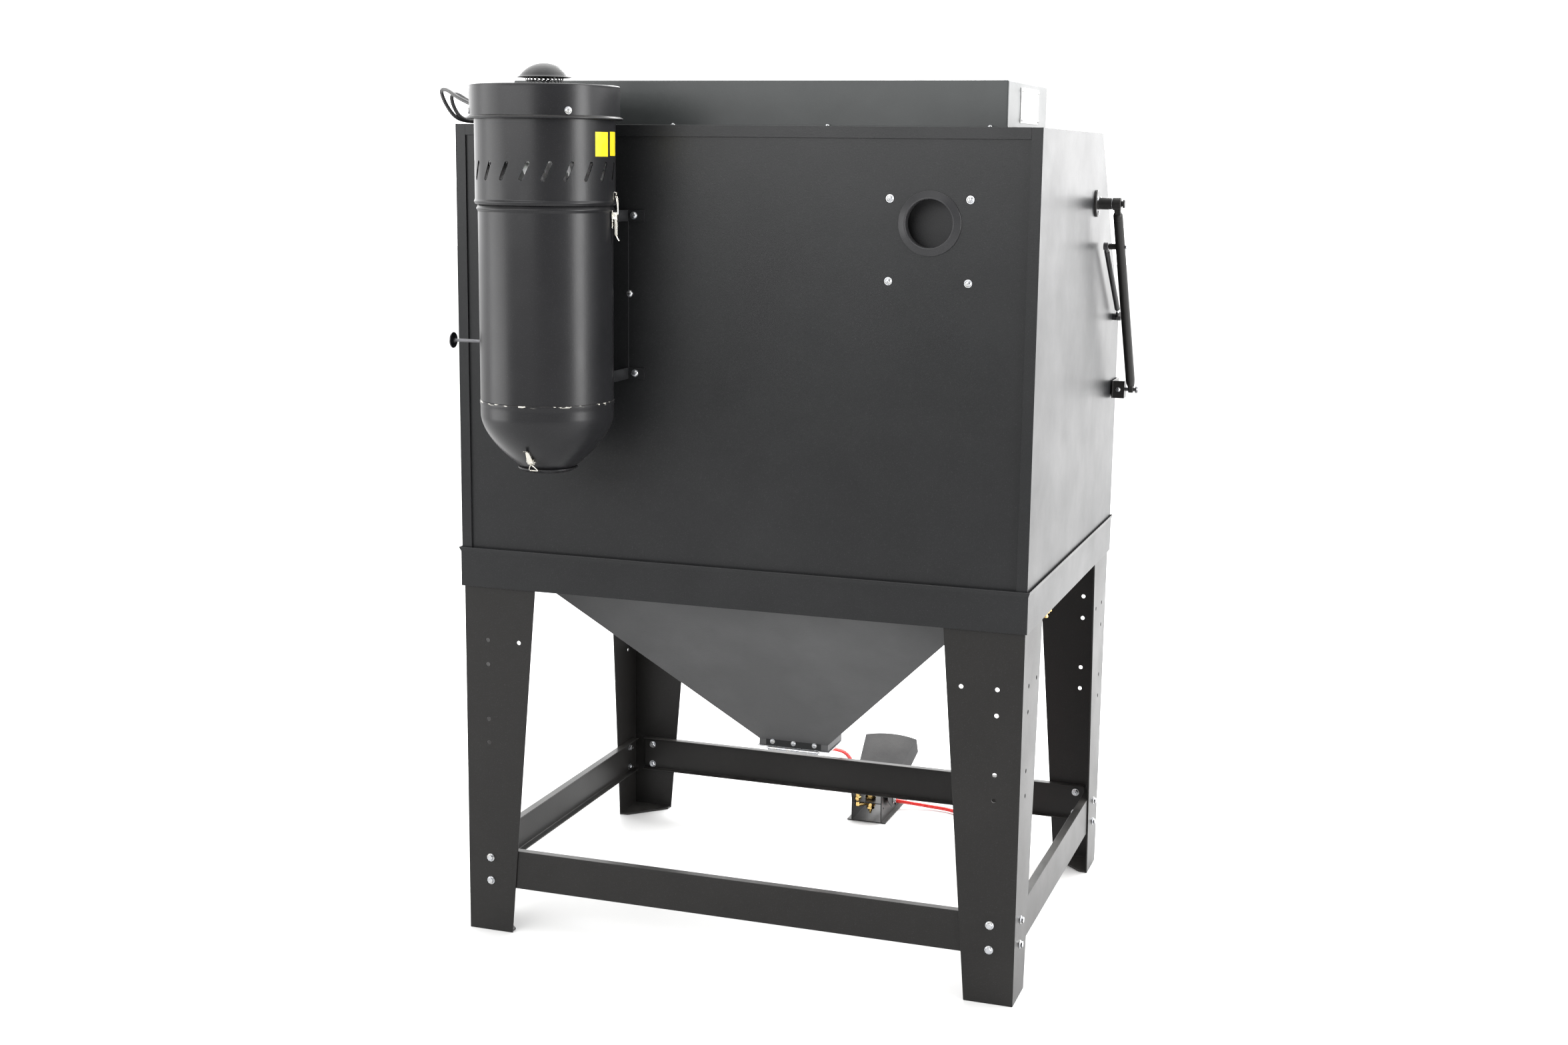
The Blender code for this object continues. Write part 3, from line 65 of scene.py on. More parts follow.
# ---- shader building ----
class Paint:
    """A node material: a Principled BSDF and the textures that drive it, in object coordinates."""

    def __init__(self, name, color, roughness, metallic=0.0, **sockets):
        self.material = bpy.data.materials.new(name)
        self.material.use_nodes = True
        self.tree = self.material.node_tree
        self.shader = self.tree.nodes["Principled BSDF"]
        self.shader.inputs["Base Color"].default_value = (*color, 1)
        self.shader.inputs["Roughness"].default_value = roughness
        self.shader.inputs["Metallic"].default_value = metallic
        for socket, value in sockets.items():
            self.shader.inputs[socket.replace("_", " ")].default_value = value
        self.coordinates = self.tree.nodes.new("ShaderNodeTexCoord")
        self.height = None

    def link(self, start, end):
        self.tree.links.new(start, end)

    def coords(self, stretch=None):
        place = self.coordinates.outputs["Object"]
        if stretch is None:
            return place
        mapping = self.tree.nodes.new("ShaderNodeMapping")
        mapping.inputs["Scale"].default_value = stretch
        self.link(place, mapping.inputs["Vector"])
        return mapping.outputs["Vector"]

    def noise(self, scale, detail=2.0, roughness=0.5, stretch=None):
        texture = self.tree.nodes.new("ShaderNodeTexNoise")
        texture.inputs["Scale"].default_value = scale
        texture.inputs["Detail"].default_value = detail
        texture.inputs["Roughness"].default_value = roughness
        self.link(self.coords(stretch), texture.inputs["Vector"])
        return texture.outputs["Fac"]

    def spread(self, value, low, high, to_low=0.0, to_high=1.0):
        """The value between low and high, stretched to the new range."""
        node = self.tree.nodes.new("ShaderNodeMapRange")
        node.inputs["From Min"].default_value = low
        node.inputs["From Max"].default_value = high
        node.inputs["To Min"].default_value = to_low
        node.inputs["To Max"].default_value = to_high
        self.link(value, node.inputs["Value"])
        return node.outputs["Result"]

    def times(self, first, second):
        node = self.tree.nodes.new("ShaderNodeMath")
        node.operation = "MULTIPLY"
        self.link(first, node.inputs[0])
        if isinstance(second, float):
            node.inputs[1].default_value = second
        else:
            self.link(second, node.inputs[1])
        return node.outputs["Value"]

    def level(self):
        """The height of the point, in metres."""
        split = self.tree.nodes.new("ShaderNodeSeparateXYZ")
        self.link(self.coords(), split.inputs["Vector"])
        return split.outputs["Z"]

    def facing_up(self):
        """1 where the surface faces up, 0 where it stands or hangs."""
        geometry = self.tree.nodes.new("ShaderNodeNewGeometry")
        split = self.tree.nodes.new("ShaderNodeSeparateXYZ")
        self.link(geometry.outputs["Normal"], split.inputs["Vector"])
        return self.spread(split.outputs["Z"], 0.35, 0.95)

    def blend_color(self, factor, color):
        """Mixes another colour over what the surface has so far."""
        node = self.tree.nodes.new("ShaderNodeMix")
        node.data_type = "RGBA"
        base = self.shader.inputs["Base Color"]
        if base.is_linked:
            self.link(base.links[0].from_socket, node.inputs[6])
        else:
            node.inputs[6].default_value = base.default_value
        node.inputs[7].default_value = (*color, 1)
        self.link(factor, node.inputs[0])
        self.link(node.outputs[2], base)

    def vary_roughness(self, value, low, high):
        self.link(self.spread(value, 0.3, 0.7, low, high), self.shader.inputs["Roughness"])

    def bump(self, value, strength, distance):
        node = self.tree.nodes.new("ShaderNodeBump")
        node.inputs["Strength"].default_value = strength
        node.inputs["Distance"].default_value = distance
        self.link(value, node.inputs["Height"])
        if self.height is not None:
            self.link(self.height, node.inputs["Normal"])
        self.height = node.outputs["Normal"]
        self.link(self.height, self.shader.inputs["Normal"])


def coat(name, color, roughness, grain, dust):
    """Textured black powder coat: fine orange peel, a cloudy sheen painted into the colour as soft lighter
    clouds, a little dust and a few scuffs.
    """
    paint = Paint(name, color, roughness, Specular_IOR_Level=0.5, IOR=1.28)
    lighter = tuple(part * 1.55 for part in color)
    # painted sheen: soft lighter clouds in the base colour stand in for the coat's cloudy sheen
    paint.blend_color(paint.spread(paint.noise(3.2, 5.0, 0.6), 0.42, 0.72, 0.0, 0.55), lighter)
    fleck = paint.spread(paint.noise(620, 2.0, 0.7), 0.6, 0.78)
    paint.blend_color(paint.times(fleck, 0.4), (0.055, 0.055, 0.058))
    scuff = paint.spread(paint.noise(26, 6.0, 0.75, (1, 1, 0.12)), 0.7, 0.78)
    paint.blend_color(paint.times(scuff, 0.09), (0.16, 0.16, 0.16))
    settled = paint.spread(paint.noise(9, 6.0, 0.7), 0.38, 0.75)
    paint.blend_color(paint.times(paint.times(settled, paint.facing_up()), dust * 2.2), (0.3, 0.29, 0.27))
    paint.vary_roughness(paint.noise(7, 4.0, 0.6), roughness - 0.025, roughness + 0.035)
    paint.bump(paint.noise(1.6, 1.0), 0.05, 0.006)
    paint.bump(paint.noise(330, 3.0, 0.55), 0.16 * grain, 0.0008)
    paint.bump(paint.noise(1300, 2.0, 0.6), 0.12 * grain, 0.0003)
    return paint


def coating(name, color=(0.0082, 0.0085, 0.009), roughness=0.35, grain=1.0, dust=0.06):
    return coat(name, color, roughness, grain, dust).material


def chipped_coating(name, color, roughness, grain, dust):
    """The drum's coating with chips down to bare metal along the bin's top seam."""
    paint = coat(name, color, roughness, grain, dust)
    seam = paint.spread(paint.level(), 1.1955, 1.1985)
    chips = paint.spread(paint.noise(58, 6.0, 0.5, (1, 1, 4.5)), 0.575, 0.6)
    paint.blend_color(paint.times(seam, chips), (0.55, 0.53, 0.48))
    return paint.material


def plated(name, color=(0.6, 0.61, 0.62), roughness=0.26, tint=(0.8, 0.74, 0.58)):
    """Bright zinc plating with a faint warm bloom and fine turning marks."""
    paint = Paint(name, color, roughness, 1.0)
    paint.blend_color(paint.spread(paint.noise(95, 4.0, 0.6), 0.45, 0.75, 0.0, 0.5), tint)
    paint.blend_color(paint.spread(paint.noise(420, 3.0, 0.7), 0.62, 0.8, 0.0, 0.6), (0.35, 0.35, 0.36))
    paint.vary_roughness(paint.noise(210, 3.0), roughness - 0.07, roughness + 0.12)
    paint.bump(paint.noise(900, 2.0), 0.15, 0.0003)
    return paint.material


def plastic(name, color, roughness=0.42, dust=0.06, grain=700):
    """Moulded plastic with a fine spark-eroded grain."""
    paint = Paint(name, color, roughness)
    lighter = tuple(min(1.0, part * 1.5 + 0.008) for part in color)
    paint.blend_color(paint.spread(paint.noise(22, 4.0, 0.6), 0.4, 0.75, 0.0, 0.5), lighter)
    paint.blend_color(paint.times(paint.facing_up(), dust), (0.35, 0.34, 0.32))
    paint.vary_roughness(paint.noise(60, 3.0), roughness - 0.06, roughness + 0.08)
    paint.bump(paint.noise(grain, 2.0), 0.14, 0.0004)
    return paint.material


def rubber(name, color=(0.02, 0.02, 0.021), roughness=0.62):
    """Matt rubber with a chalky bloom in its hollows."""
    paint = Paint(name, color, roughness)
    paint.blend_color(paint.spread(paint.noise(14, 6.0, 0.7), 0.45, 0.8, 0.0, 0.7), (0.055, 0.054, 0.052))
    paint.vary_roughness(paint.noise(40, 4.0), roughness - 0.08, roughness + 0.1)
    paint.bump(paint.noise(45, 4.0, 0.6), 0.22, 0.0025)
    paint.bump(paint.noise(900, 2.0), 0.2, 0.0004)
    return paint.material


def hose_red(name):
    """Translucent-looking red polyurethane with a soft gloss and faint extrusion lines."""
    paint = Paint(name, (0.72, 0.012, 0.01), 0.24, Coat_Weight=0.35, Coat_Roughness=0.18)
    paint.blend_color(paint.spread(paint.noise(30, 3.0, 0.6), 0.42, 0.72, 0.0, 0.8), (0.86, 0.035, 0.022))
    paint.blend_color(paint.spread(paint.noise(160, 5.0, 0.7), 0.62, 0.82, 0.0, 0.4), (0.45, 0.02, 0.02))
    paint.vary_roughness(paint.noise(90, 3.0), 0.18, 0.36)
    paint.bump(paint.noise(420, 3.0), 0.1, 0.0004)
    return paint.material


def brass(name):
    paint = Paint(name, (0.76, 0.53, 0.2), 0.26, 1.0)
    paint.blend_color(paint.spread(paint.noise(120, 5.0, 0.7), 0.48, 0.8, 0.0, 0.8), (0.42, 0.25, 0.09))
    paint.vary_roughness(paint.noise(220, 3.0), 0.18, 0.42)
    paint.bump(paint.noise(1100, 2.0), 0.15, 0.0003)
    return paint.material


def steel(name, color=(0.33, 0.33, 0.34), roughness=0.38, rust=0.2):
    """Worn bare steel with brushing along X and a breath of rust."""
    paint = Paint(name, color, roughness, 1.0)
    paint.blend_color(paint.spread(paint.noise(30, 6.0, 0.7), 0.55, 0.85, 0.0, rust), (0.22, 0.12, 0.07))
    paint.vary_roughness(paint.noise(240, 3.0, 0.6, (0.05, 1, 1)), roughness - 0.1, roughness + 0.14)
    paint.bump(paint.noise(500, 2.0, 0.5, (0.04, 1, 1)), 0.18, 0.0004)
    return paint.material


def glass(name):
    """Clear safety glass with a light haze of blasting dust."""
    paint = Paint(name, (0.9, 0.95, 0.95), 0.04, Transmission_Weight=1.0, IOR=1.45)
    paint.blend_color(paint.spread(paint.noise(6, 6.0, 0.7), 0.4, 0.75, 0.0, 0.6), (0.8, 0.83, 0.82))
    paint.vary_roughness(paint.noise(8, 7.0, 0.75), 0.02, 0.16)
    paint.bump(paint.noise(600, 2.0), 0.02, 0.0002)
    return paint.material


def paper(name):
    paint = Paint(name, (0.74, 0.7, 0.58), 0.88)
    paint.blend_color(paint.spread(paint.noise(18, 5.0, 0.7), 0.45, 0.8, 0.0, 0.6), (0.48, 0.44, 0.36))
    paint.bump(paint.noise(500, 3.0), 0.3, 0.0005)
    return paint.material


def cast(name, color=(0.42, 0.43, 0.44), roughness=0.45):
    paint = Paint(name, color, roughness, 0.85)
    paint.blend_color(paint.spread(paint.noise(60, 5.0, 0.7), 0.5, 0.8, 0.0, 0.7), (0.2, 0.2, 0.2))
    paint.vary_roughness(paint.noise(100, 3.0), roughness - 0.1, roughness + 0.15)
    paint.bump(paint.noise(420, 3.0), 0.3, 0.0006)
    return paint.material


def label_yellow(name):
    paint = Paint(name, (0.5, 0.41, 0.01), 0.4)
    paint.blend_color(paint.spread(paint.noise(45, 5.0, 0.7), 0.5, 0.85, 0.0, 0.5), (0.42, 0.34, 0.014))
    paint.vary_roughness(paint.noise(80, 3.0), 0.28, 0.45)
    paint.bump(paint.noise(300, 2.0), 0.08, 0.0003)
    return paint.material


def lamp_white(name):
    paint = Paint(name, (0.86, 0.87, 0.85), 0.28)
    paint.blend_color(paint.spread(paint.noise(20, 4.0), 0.4, 0.8, 0.0, 0.5), (0.76, 0.77, 0.75))
    paint.vary_roughness(paint.noise(50, 2.0), 0.22, 0.36)
    paint.bump(paint.noise(300, 2.0), 0.05, 0.0003)
    return paint.material


def floor_white(name):
    paint = Paint(name, (0.53, 0.53, 0.527), 0.55)
    paint.blend_color(paint.spread(paint.noise(1.1, 4.0, 0.6), 0.35, 0.75, 0.0, 0.5), (0.51, 0.51, 0.51))
    return paint.material


COAT = coating("powder_coat")
# painted light: the light box's coat is a lighter copy of the black coat, its extra brightness standing in
# for the light its glossy back face catches
LIGHT_BOX_COAT_PAINTED_LIT = coating("powder_coat_light_box_painted_lit", (0.03, 0.0325, 0.0325), 0.34, 0.7, 0.05)
COAT_TREADLE = coating("powder_coat_treadle", (0.03, 0.03, 0.0305), 0.72, 2.4, 0.03)
COAT_HOPPER = coating("powder_coat_hopper", (0.06, 0.0603, 0.0615), 0.46, 2.2, 0.06)
COAT_INSIDE = coating("powder_coat_inside", (0.02, 0.02, 0.021), 0.55, 1.2, 0.05)
DRUM_COAT = ((0.0088, 0.0088, 0.0096), 0.3, 0.55, 0.08)
COAT_DRUM = coating("powder_coat_drum", *DRUM_COAT)
COAT_CHIPPED = chipped_coating("powder_coat_chipped", *DRUM_COAT)
COAT_RING = coating("powder_coat_ring", (0.019, 0.019, 0.02), 0.3, 0.6, 0.06)
COAT_LEG = coating("powder_coat_leg", (0.0092, 0.0088, 0.0084), 0.36, 0.9, 0.06)
ZINC = plated("zinc_plate", (0.4, 0.41, 0.43), 0.3, (0.52, 0.49, 0.4))
NICKEL = plated("nickel_latch", (0.56, 0.545, 0.5), 0.2, (0.52, 0.46, 0.33))
BARREL = coating("strut_enamel", (0.016, 0.016, 0.017), 0.22, 0.25, 0.05)
BLACK = plastic("black_plastic", (0.018, 0.018, 0.019))
RING = plastic("collar_plastic", (0.022, 0.022, 0.023), 0.48)
WHITE = plastic("white_plastic", (0.8, 0.8, 0.78), 0.38, 0.0)
CABLE = rubber("cable_sheath", (0.016, 0.016, 0.017), 0.42)
GLOVE = rubber("glove_rubber", (0.024, 0.024, 0.025), 0.66)
GASKET = rubber("gasket_rubber", (0.018, 0.018, 0.018), 0.75)
HOSE = hose_red("red_hose")
BRASS = brass("brass")
STEEL = steel("grate_steel")
DARK_STEEL = steel("dark_steel", (0.1, 0.1, 0.105), 0.35, 0.1)
CHROME = plated("chrome_rod", (0.86, 0.87, 0.88), 0.08, (0.8, 0.82, 0.84))
GLASS = glass("safety_glass")
PAPER = paper("filter_paper")
CAST = cast("cast_alloy")
ALLOY = cast("motor_alloy", (0.82, 0.82, 0.82), 0.34)
YELLOW = label_yellow("yellow_label")
LAMP = lamp_white("lamp_glass")
FLOOR = floor_white("floor_white")


# ---- mesh building ----
PIECES = []


def link(obj, paint, body, smooth=34):
    """Puts a piece in the scene with its paint and on its body."""
    bpy.context.scene.collection.objects.link(obj)
    PIECES.append(obj)
    obj.data.materials.append(paint)
    if obj.type == "MESH":
        obj.data.shade_smooth()
        obj.data.set_sharp_from_angle(angle=math.radians(smooth))
    if body is not None:
        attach(obj, body)
    return obj


def from_bmesh(name, bm, paint, body="cabinet", smooth=34):
    mesh = bpy.data.meshes.new(name)
    bm.to_mesh(mesh)
    bm.free()
    return link(bpy.data.objects.new(name, mesh), paint, body, smooth)


def soften(obj, width, segments=2):
    """Rounds the piece's sharp edges."""
    bevel = obj.modifiers.new("Edges", "BEVEL")
    bevel.width = width
    bevel.segments = segments
    bevel.limit_method = "ANGLE"
    bevel.angle_limit = math.radians(32)
    bevel.harden_normals = True
    bevel.miter_outer = "MITER_ARC"
    return obj


def dressed(node, paint, width=0.0008, segments=2, body="cabinet"):
    """A copy of a CAD node with its flat faces whole and its edges rounded, in the node's place."""
    bm = bmesh.new()
    bm.from_mesh(NODES[node].data)
    bmesh.ops.remove_doubles(bm, verts=bm.verts, dist=0.00002)
    bmesh.ops.dissolve_limit(bm, angle_limit=math.radians(0.6), verts=bm.verts, edges=bm.edges)
    bmesh.ops.recalc_face_normals(bm, faces=bm.faces)
    piece = from_bmesh(node + "_sheet", bm, paint, body)
    if width:
        soften(piece, width, segments)
    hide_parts(node)
    return piece


def polar(radius, degrees):
    """The two coordinates of a point on a circle about the origin."""
    turn = math.radians(degrees)
    return radius * math.cos(turn), radius * math.sin(turn)


def skin(bm, rings, closed=False):
    """Faces between neighbouring rings of points, one of which may be a single point."""
    pairs = list(zip(rings, rings[1:]))
    if closed:
        pairs.append((rings[-1], rings[0]))
    for lower, upper in pairs:
        count = max(len(lower), len(upper))
        for k in range(count):
            after = (k + 1) % count
            near = (lower[k % len(lower)], lower[after % len(lower)])
            far = (upper[after % len(upper)], upper[k % len(upper)])
            corners = list(dict.fromkeys(near + far))
            if len(corners) > 2:
                bm.faces.new(corners)


def prism(bm, outlines):
    """Two like outlines joined and capped."""
    ends = [[bm.verts.new(point) for point in outline] for outline in outlines]
    skin(bm, ends)
    for end in ends:
        bm.faces.new(end)


def turned(name, profile, at, paint, axis=(0, 0, 1), steps=64, body="cabinet", closed=False):
    """A profile of (radius, height) turned about an axis through a point."""
    bm = bmesh.new()
    place = facing(at, axis)
    rings = []
    for radius, height in profile:
        spots = [polar(radius, 360 * step / steps) for step in range(steps if radius else 1)]
        rings.append([bm.verts.new(place @ Vector((x, y, height))) for x, y in spots])
    skin(bm, rings, closed)
    bmesh.ops.recalc_face_normals(bm, faces=bm.faces)
    return from_bmesh(name, bm, paint, body)


def block(bm, corner, opposite):
    """A box between two opposite corners, in any order."""
    size = [abs(b - a) for a, b in zip(corner, opposite)]
    matrix = Matrix.Translation((Vector(corner) + Vector(opposite)) / 2) @ Matrix.Diagonal((*size, 1))
    return bmesh.ops.create_cube(bm, size=1, matrix=matrix)["verts"]


def rod(bm, start, end, radius, sides=20, end_radius=None):
    """A round bar between two points, tapered where it has an end radius."""
    run = Vector(end) - Vector(start)
    bmesh.ops.create_cone(
        bm, cap_ends=True, segments=sides, radius1=radius,
        radius2=radius if end_radius is None else end_radius, depth=run.length,
        matrix=facing((Vector(start) + Vector(end)) / 2, run),
    )


def tube(name, points, radius, paint, body="cabinet", cyclic=False, sides=5):
    """A round bar along points, straight between them."""
    data = bpy.data.curves.new(name, "CURVE")
    data.dimensions = "3D"
    data.bevel_depth = radius
    data.bevel_resolution = sides
    data.use_fill_caps = True
    spline = data.splines.new("POLY")
    spline.points.add(len(points) - 1)
    for point, place in zip(spline.points, points):
        point.co = (*place, 1)
    spline.use_cyclic_u = cyclic
    spline.use_smooth = True
    return link(bpy.data.objects.new(name, data), paint, body)


def route(points, spacing):
    """A smooth curve through the given points, sampled at about the spacing."""
    points = [Vector(point) for point in points]
    ends = [points[0] * 2 - points[1], *points, points[-1] * 2 - points[-2]]
    result = []
    for before, start, end, after in zip(ends, ends[1:], ends[2:], ends[3:]):
        count = max(2, round((end - start).length / spacing))
        for step in range(count):
            t = step / count
            result.append(
                0.5
                * (
                    2 * start
                    + (end - before) * t
                    + (2 * before - 5 * start + 4 * end - after) * t**2
                    + (3 * start - before - 3 * end + after) * t**3
                )
            )
    return [*result, points[-1]]


def facing(at, normal):
    """Places a shape made about +Z so that it stands at a point along a normal."""
    turn = Vector((0, 0, 1)).rotation_difference(Vector(normal)).to_matrix().to_4x4()
    return Matrix.Translation(at) @ turn


def dome(bm, radius, height, place, steps=24, rings=5):
    """A screw head: flat underneath, domed above."""
    rows = []
    for ring in range(rings + 1):
        angle = math.radians(90) * ring / rings
        reach = radius * math.cos(angle) ** 0.75 if ring < rings else 0
        spots = [polar(reach, 360 * step / steps) for step in range(steps if reach else 1)]
        rows.append([bm.verts.new(place @ Vector((x, y, height * math.sin(angle)))) for x, y in spots])
    bm.faces.new(list(reversed(rows[0])))
    skin(bm, rows)


def pan_screw(bm, recess, at, normal, radius, height, turn):
    """A domed screw head on a thin washer flange, and the cross that is cut into it."""
    place = facing(at, normal)
    rod(bm, at - normal * 0.0004, at + normal * 0.0009, radius * 1.22, 28)
    dome(bm, radius, height, place @ Matrix.Translation((0, 0, 0.0006)))
    arm = Matrix.Diagonal((radius * 1.05, radius * 0.24, height * 0.95, 1))
    for quarter in (0, 90):
        turned_by = Matrix.Rotation(turn + math.radians(quarter), 4, "Z")
        matrix = place @ turned_by @ Matrix.Translation((0, 0, height * 0.95)) @ arm
        bmesh.ops.create_cube(recess, size=1, matrix=matrix)


def screws(name, places, body="cabinet", radius=0.0068, height=0.0034):
    """A set of like screws as one piece: heads joined, recesses cut."""
    heads = bmesh.new()
    recess = bmesh.new()
    for index, (at, normal) in enumerate(places):
        pan_screw(heads, recess, Vector(at), Vector(normal).normalized(), radius, height, 0.4 + 0.7 * index)
    return cut(from_bmesh(name, heads, ZINC, body, smooth=40), recess)


def cut(piece, bm):
    """Cuts the mesh under construction out of the piece and makes the result its mesh."""
    mesh = bpy.data.meshes.new("cutter")
    bm.to_mesh(mesh)
    bm.free()
    cutter = bpy.data.objects.new("cutter", mesh)
    bpy.context.scene.collection.objects.link(cutter)
    boolean = piece.modifiers.new("Cut", "BOOLEAN")
    boolean.object = cutter
    boolean.operation = "DIFFERENCE"
    boolean.solver = "EXACT"
    boolean.use_self = True
    bpy.context.view_layer.update()
    graph = bpy.context.evaluated_depsgraph_get()
    mesh = bpy.data.meshes.new_from_object(piece.evaluated_get(graph))
    piece.modifiers.clear()
    piece.data = mesh
    bpy.data.objects.remove(cutter)
    return piece


def hexagon(bm, at, normal, across, height, turn=0.0):
    """A six-sided head or nut with its corners turned off."""
    place = facing(at, normal) @ Matrix.Rotation(turn, 4, "Z")
    corner = across / 2 / math.cos(math.radians(30))
    rows = []
    for level, share in ((0.0, 0.96), (height * 0.1, 1.0), (height * 0.86, 1.0), (height, 0.9)):
        spots = [polar(corner * share, 60 * k) for k in range(6)]
        rows.append([bm.verts.new(place @ Vector((x, y, level))) for x, y in spots])
    skin(bm, rows)
    bm.faces.new(list(reversed(rows[0])))
    bm.faces.new(rows[-1])


def bolts(name, places, body="cabinet"):
    """Flanged hex heads on washers, one piece for the whole set."""
    bm = bmesh.new()
    for index, (at, normal) in enumerate(places):
        at = Vector(at)
        normal = Vector(normal)
        rod(bm, at - normal * 0.0003, at + normal * 0.0012, 0.0088, 28)
        rod(bm, at + normal * 0.0012, at + normal * 0.0022, 0.0075, 24, 0.0064)
        hexagon(bm, at + normal * 0.002, normal, 0.0112, 0.0046, turn=0.35 + 0.5 * index)
    return from_bmesh(name, bm, ZINC, body, smooth=25)


def nuts(name, places, body="cabinet"):
    bm = bmesh.new()
    for index, (at, normal) in enumerate(places):
        at = Vector(at)
        normal = Vector(normal)
        rod(bm, at, at + normal * 0.0012, 0.0088, 28)
        hexagon(bm, at + normal * 0.0012, normal, 0.0122, 0.0054, turn=0.2 + 0.6 * index)
        rod(bm, at + normal * 0.005, at + normal * 0.0102, 0.0036, 16, 0.003)
    return from_bmesh(name, bm, ZINC, body, smooth=25)


def repaint(node, paint):
    """Gives a CAD node that stays visible its finished material."""
    slots = NODES[node].data.materials
    slots.clear()
    slots.append(paint)


def arc(centre, radius, start, end, count=6):
    """Profile points round a corner, angles in degrees."""
    steps = [polar(radius, start + (end - start) * k / count) for k in range(count + 1)]
    return [(centre[0] + x, centre[1] + y) for x, y in steps]


def around(radius, angle, z):
    """A point on a circle about the collector's axis, its angle in degrees."""
    x, y = polar(radius, angle)
    return Vector((DRUM.x + x, DRUM.y + y, z))


def outwards(angle):
    """The horizontal direction at an angle in degrees."""
    return Vector((*polar(1, angle), 0))


def tapered(name, points, radii, paint):
    """A tube along points whose radius changes at each of them."""
    piece = tube(name, points, 1.0, paint, sides=6)
    for point, radius in zip(piece.data.splines[0].points, radii):
        point.radius = radius
    return piece


def framed(across, outward, upward, base):
    """The matrix of a small part's own frame: X across, Y out of its surface, Z up it."""
    turn = Matrix((across, outward, upward)).transposed().to_4x4()
    return Matrix.Translation(base) @ turn


def folded(bm, place, outline, sheet, low, high):
    """A strip bent along an outline in the part's (Y, Z), of that width in X."""
    inner = []
    for index, (y, z) in enumerate(outline):
        before = Vector(outline[max(0, index - 1)])
        after = Vector(outline[min(len(outline) - 1, index + 1)])
        run = (after - before).normalized()
        inner.append((y + run.y * sheet, z - run.x * sheet))
    ring = [*outline, *reversed(inner)]
    ends = [[bm.verts.new(place @ Vector((x, y, z))) for y, z in ring] for x in (low, high)]
    skin(bm, ends)
    for end in ends:
        for k in range(len(outline) - 1):
            bm.faces.new((end[k], end[k + 1], end[-2 - k], end[-1 - k]))
    bmesh.ops.recalc_face_normals(bm, faces=bm.faces)


add_camera()


# ---- hoses and cables ----
PEDAL_HOSE = [
    (0.02, -0.5385, 0.0808), (0.02, -0.5385, 0.1), (0.025, -0.53, 0.135), (0.04, -0.498, 0.185),
    (0.058, -0.456, 0.208), (0.071, -0.415, 0.22), (0.076, -0.395, 0.27), (0.074, -0.385, 0.36),
    (0.062, -0.37, 0.49), (0.049, -0.345, 0.585), (0.045, -0.302, 0.62), (0.045, -0.2768, 0.62),
]
SUPPLY_HOSE = [
    (-0.006, -0.5908, 0.03), (-0.006, -0.602, 0.029), (-0.01, -0.635, 0.024), (-0.026, -0.66, 0.02),
    (-0.046, -0.666, 0.0195), (-0.085, -0.674, 0.015), (-0.135, -0.685, 0.0085), (-0.195, -0.676, 0.007),
    (-0.265, -0.63, 0.007), (-0.325, -0.53, 0.007), (-0.37, -0.38, 0.012), (-0.4, -0.23, 0.07),
    (-0.415, -0.115, 0.22), (-0.42, -0.045, 0.42), (-0.418, -0.024, 0.57), (-0.4, -0.02, 0.63),
    (-0.384, -0.02, 0.64), (-0.3708, -0.02, 0.64),
]
LONG_CABLE = [
    (0.4896, 0.5771, 1.768), (0.5051, 0.5732, 1.768), (0.55, 0.558, 1.784), (0.592, 0.532, 1.801),
    (0.615, 0.511, 1.799), (0.616, 0.493, 1.776), (0.61, 0.466, 1.751), (0.599, 0.437, 1.7425),
    (0.58, 0.395, 1.7425), (0.559, 0.348, 1.756), (0.542, 0.327, 1.774), (0.5222, 0.325, 1.775),
]
SHORT_CABLE = [
    (0.473, 0.5361, 1.768), (0.4869, 0.5281, 1.768), (0.542, 0.514, 1.776), (0.585, 0.498, 1.793),
    (0.606, 0.485, 1.79), (0.608, 0.472, 1.769), (0.601, 0.454, 1.749), (0.587, 0.42, 1.7425),
    (0.564, 0.33, 1.7425), (0.554, 0.26, 1.752), (0.548, 0.205, 1.774), (0.54, 0.182, 1.785),
    (0.5222, 0.18, 1.785),
]
GUN_HOSE = [
    (-0.0208, 0.1484, 0.927), (-0.0285, 0.1811, 0.927), (-0.06, 0.255, 0.921), (-0.14, 0.32, 0.9155),
    (-0.26, 0.345, 0.9155), (-0.39, 0.33, 0.9155), (-0.49, 0.29, 0.925), (-0.55, 0.245, 0.96),
    (-0.578, 0.215, 1.008), (-0.589, 0.202, 1.038), (-0.607, 0.2, 1.04),
]


def add_cord(node, points, radius, paint):
    """A hose or cable fixed at both ends, along its route."""
    piece = tube(node + "_run", route(points, radius * 1.6), radius, paint, sides=6)
    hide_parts(node)


add_cord("pedal_hose", PEDAL_HOSE, 0.005, HOSE)
add_cord("supply_hose", SUPPLY_HOSE, 0.005, HOSE)
add_cord("motor_cable", LONG_CABLE, 0.004, CABLE)
add_cord("mains_cable", SHORT_CABLE, 0.004, CABLE)
add_cord("gun_hose", GUN_HOSE, 0.008, GLOVE)


# ---- cabinet, hopper and legs ----
def add_sheet_metal():
    for side in ("left", "right"):
        dressed("side_panel_" + side, COAT, 0.0009)
    dressed("top_panel", COAT, 0.0007)
    dressed("back_panel", COAT, 0)
    dressed("front_panel", COAT, 0.0006)
    dressed("base_rim", COAT, 0.0012, 3)
    dressed("hopper", COAT_HOPPER, 0.0009)
    dressed("work_grate", STEEL, 0.0005)
    dressed("light_box", LIGHT_BOX_COAT_PAINTED_LIT, 0.0006)
    dressed("collector_bracket", COAT, 0.0005)
    for end in ("front", "back"):
        for side in ("left", "right"):
            dressed(f"leg_{end}_{side}", COAT_LEG, 0.0006)
    for word in ("front", "back", "left", "right"):
        dressed("brace_" + word, COAT_LEG, 0.0008)


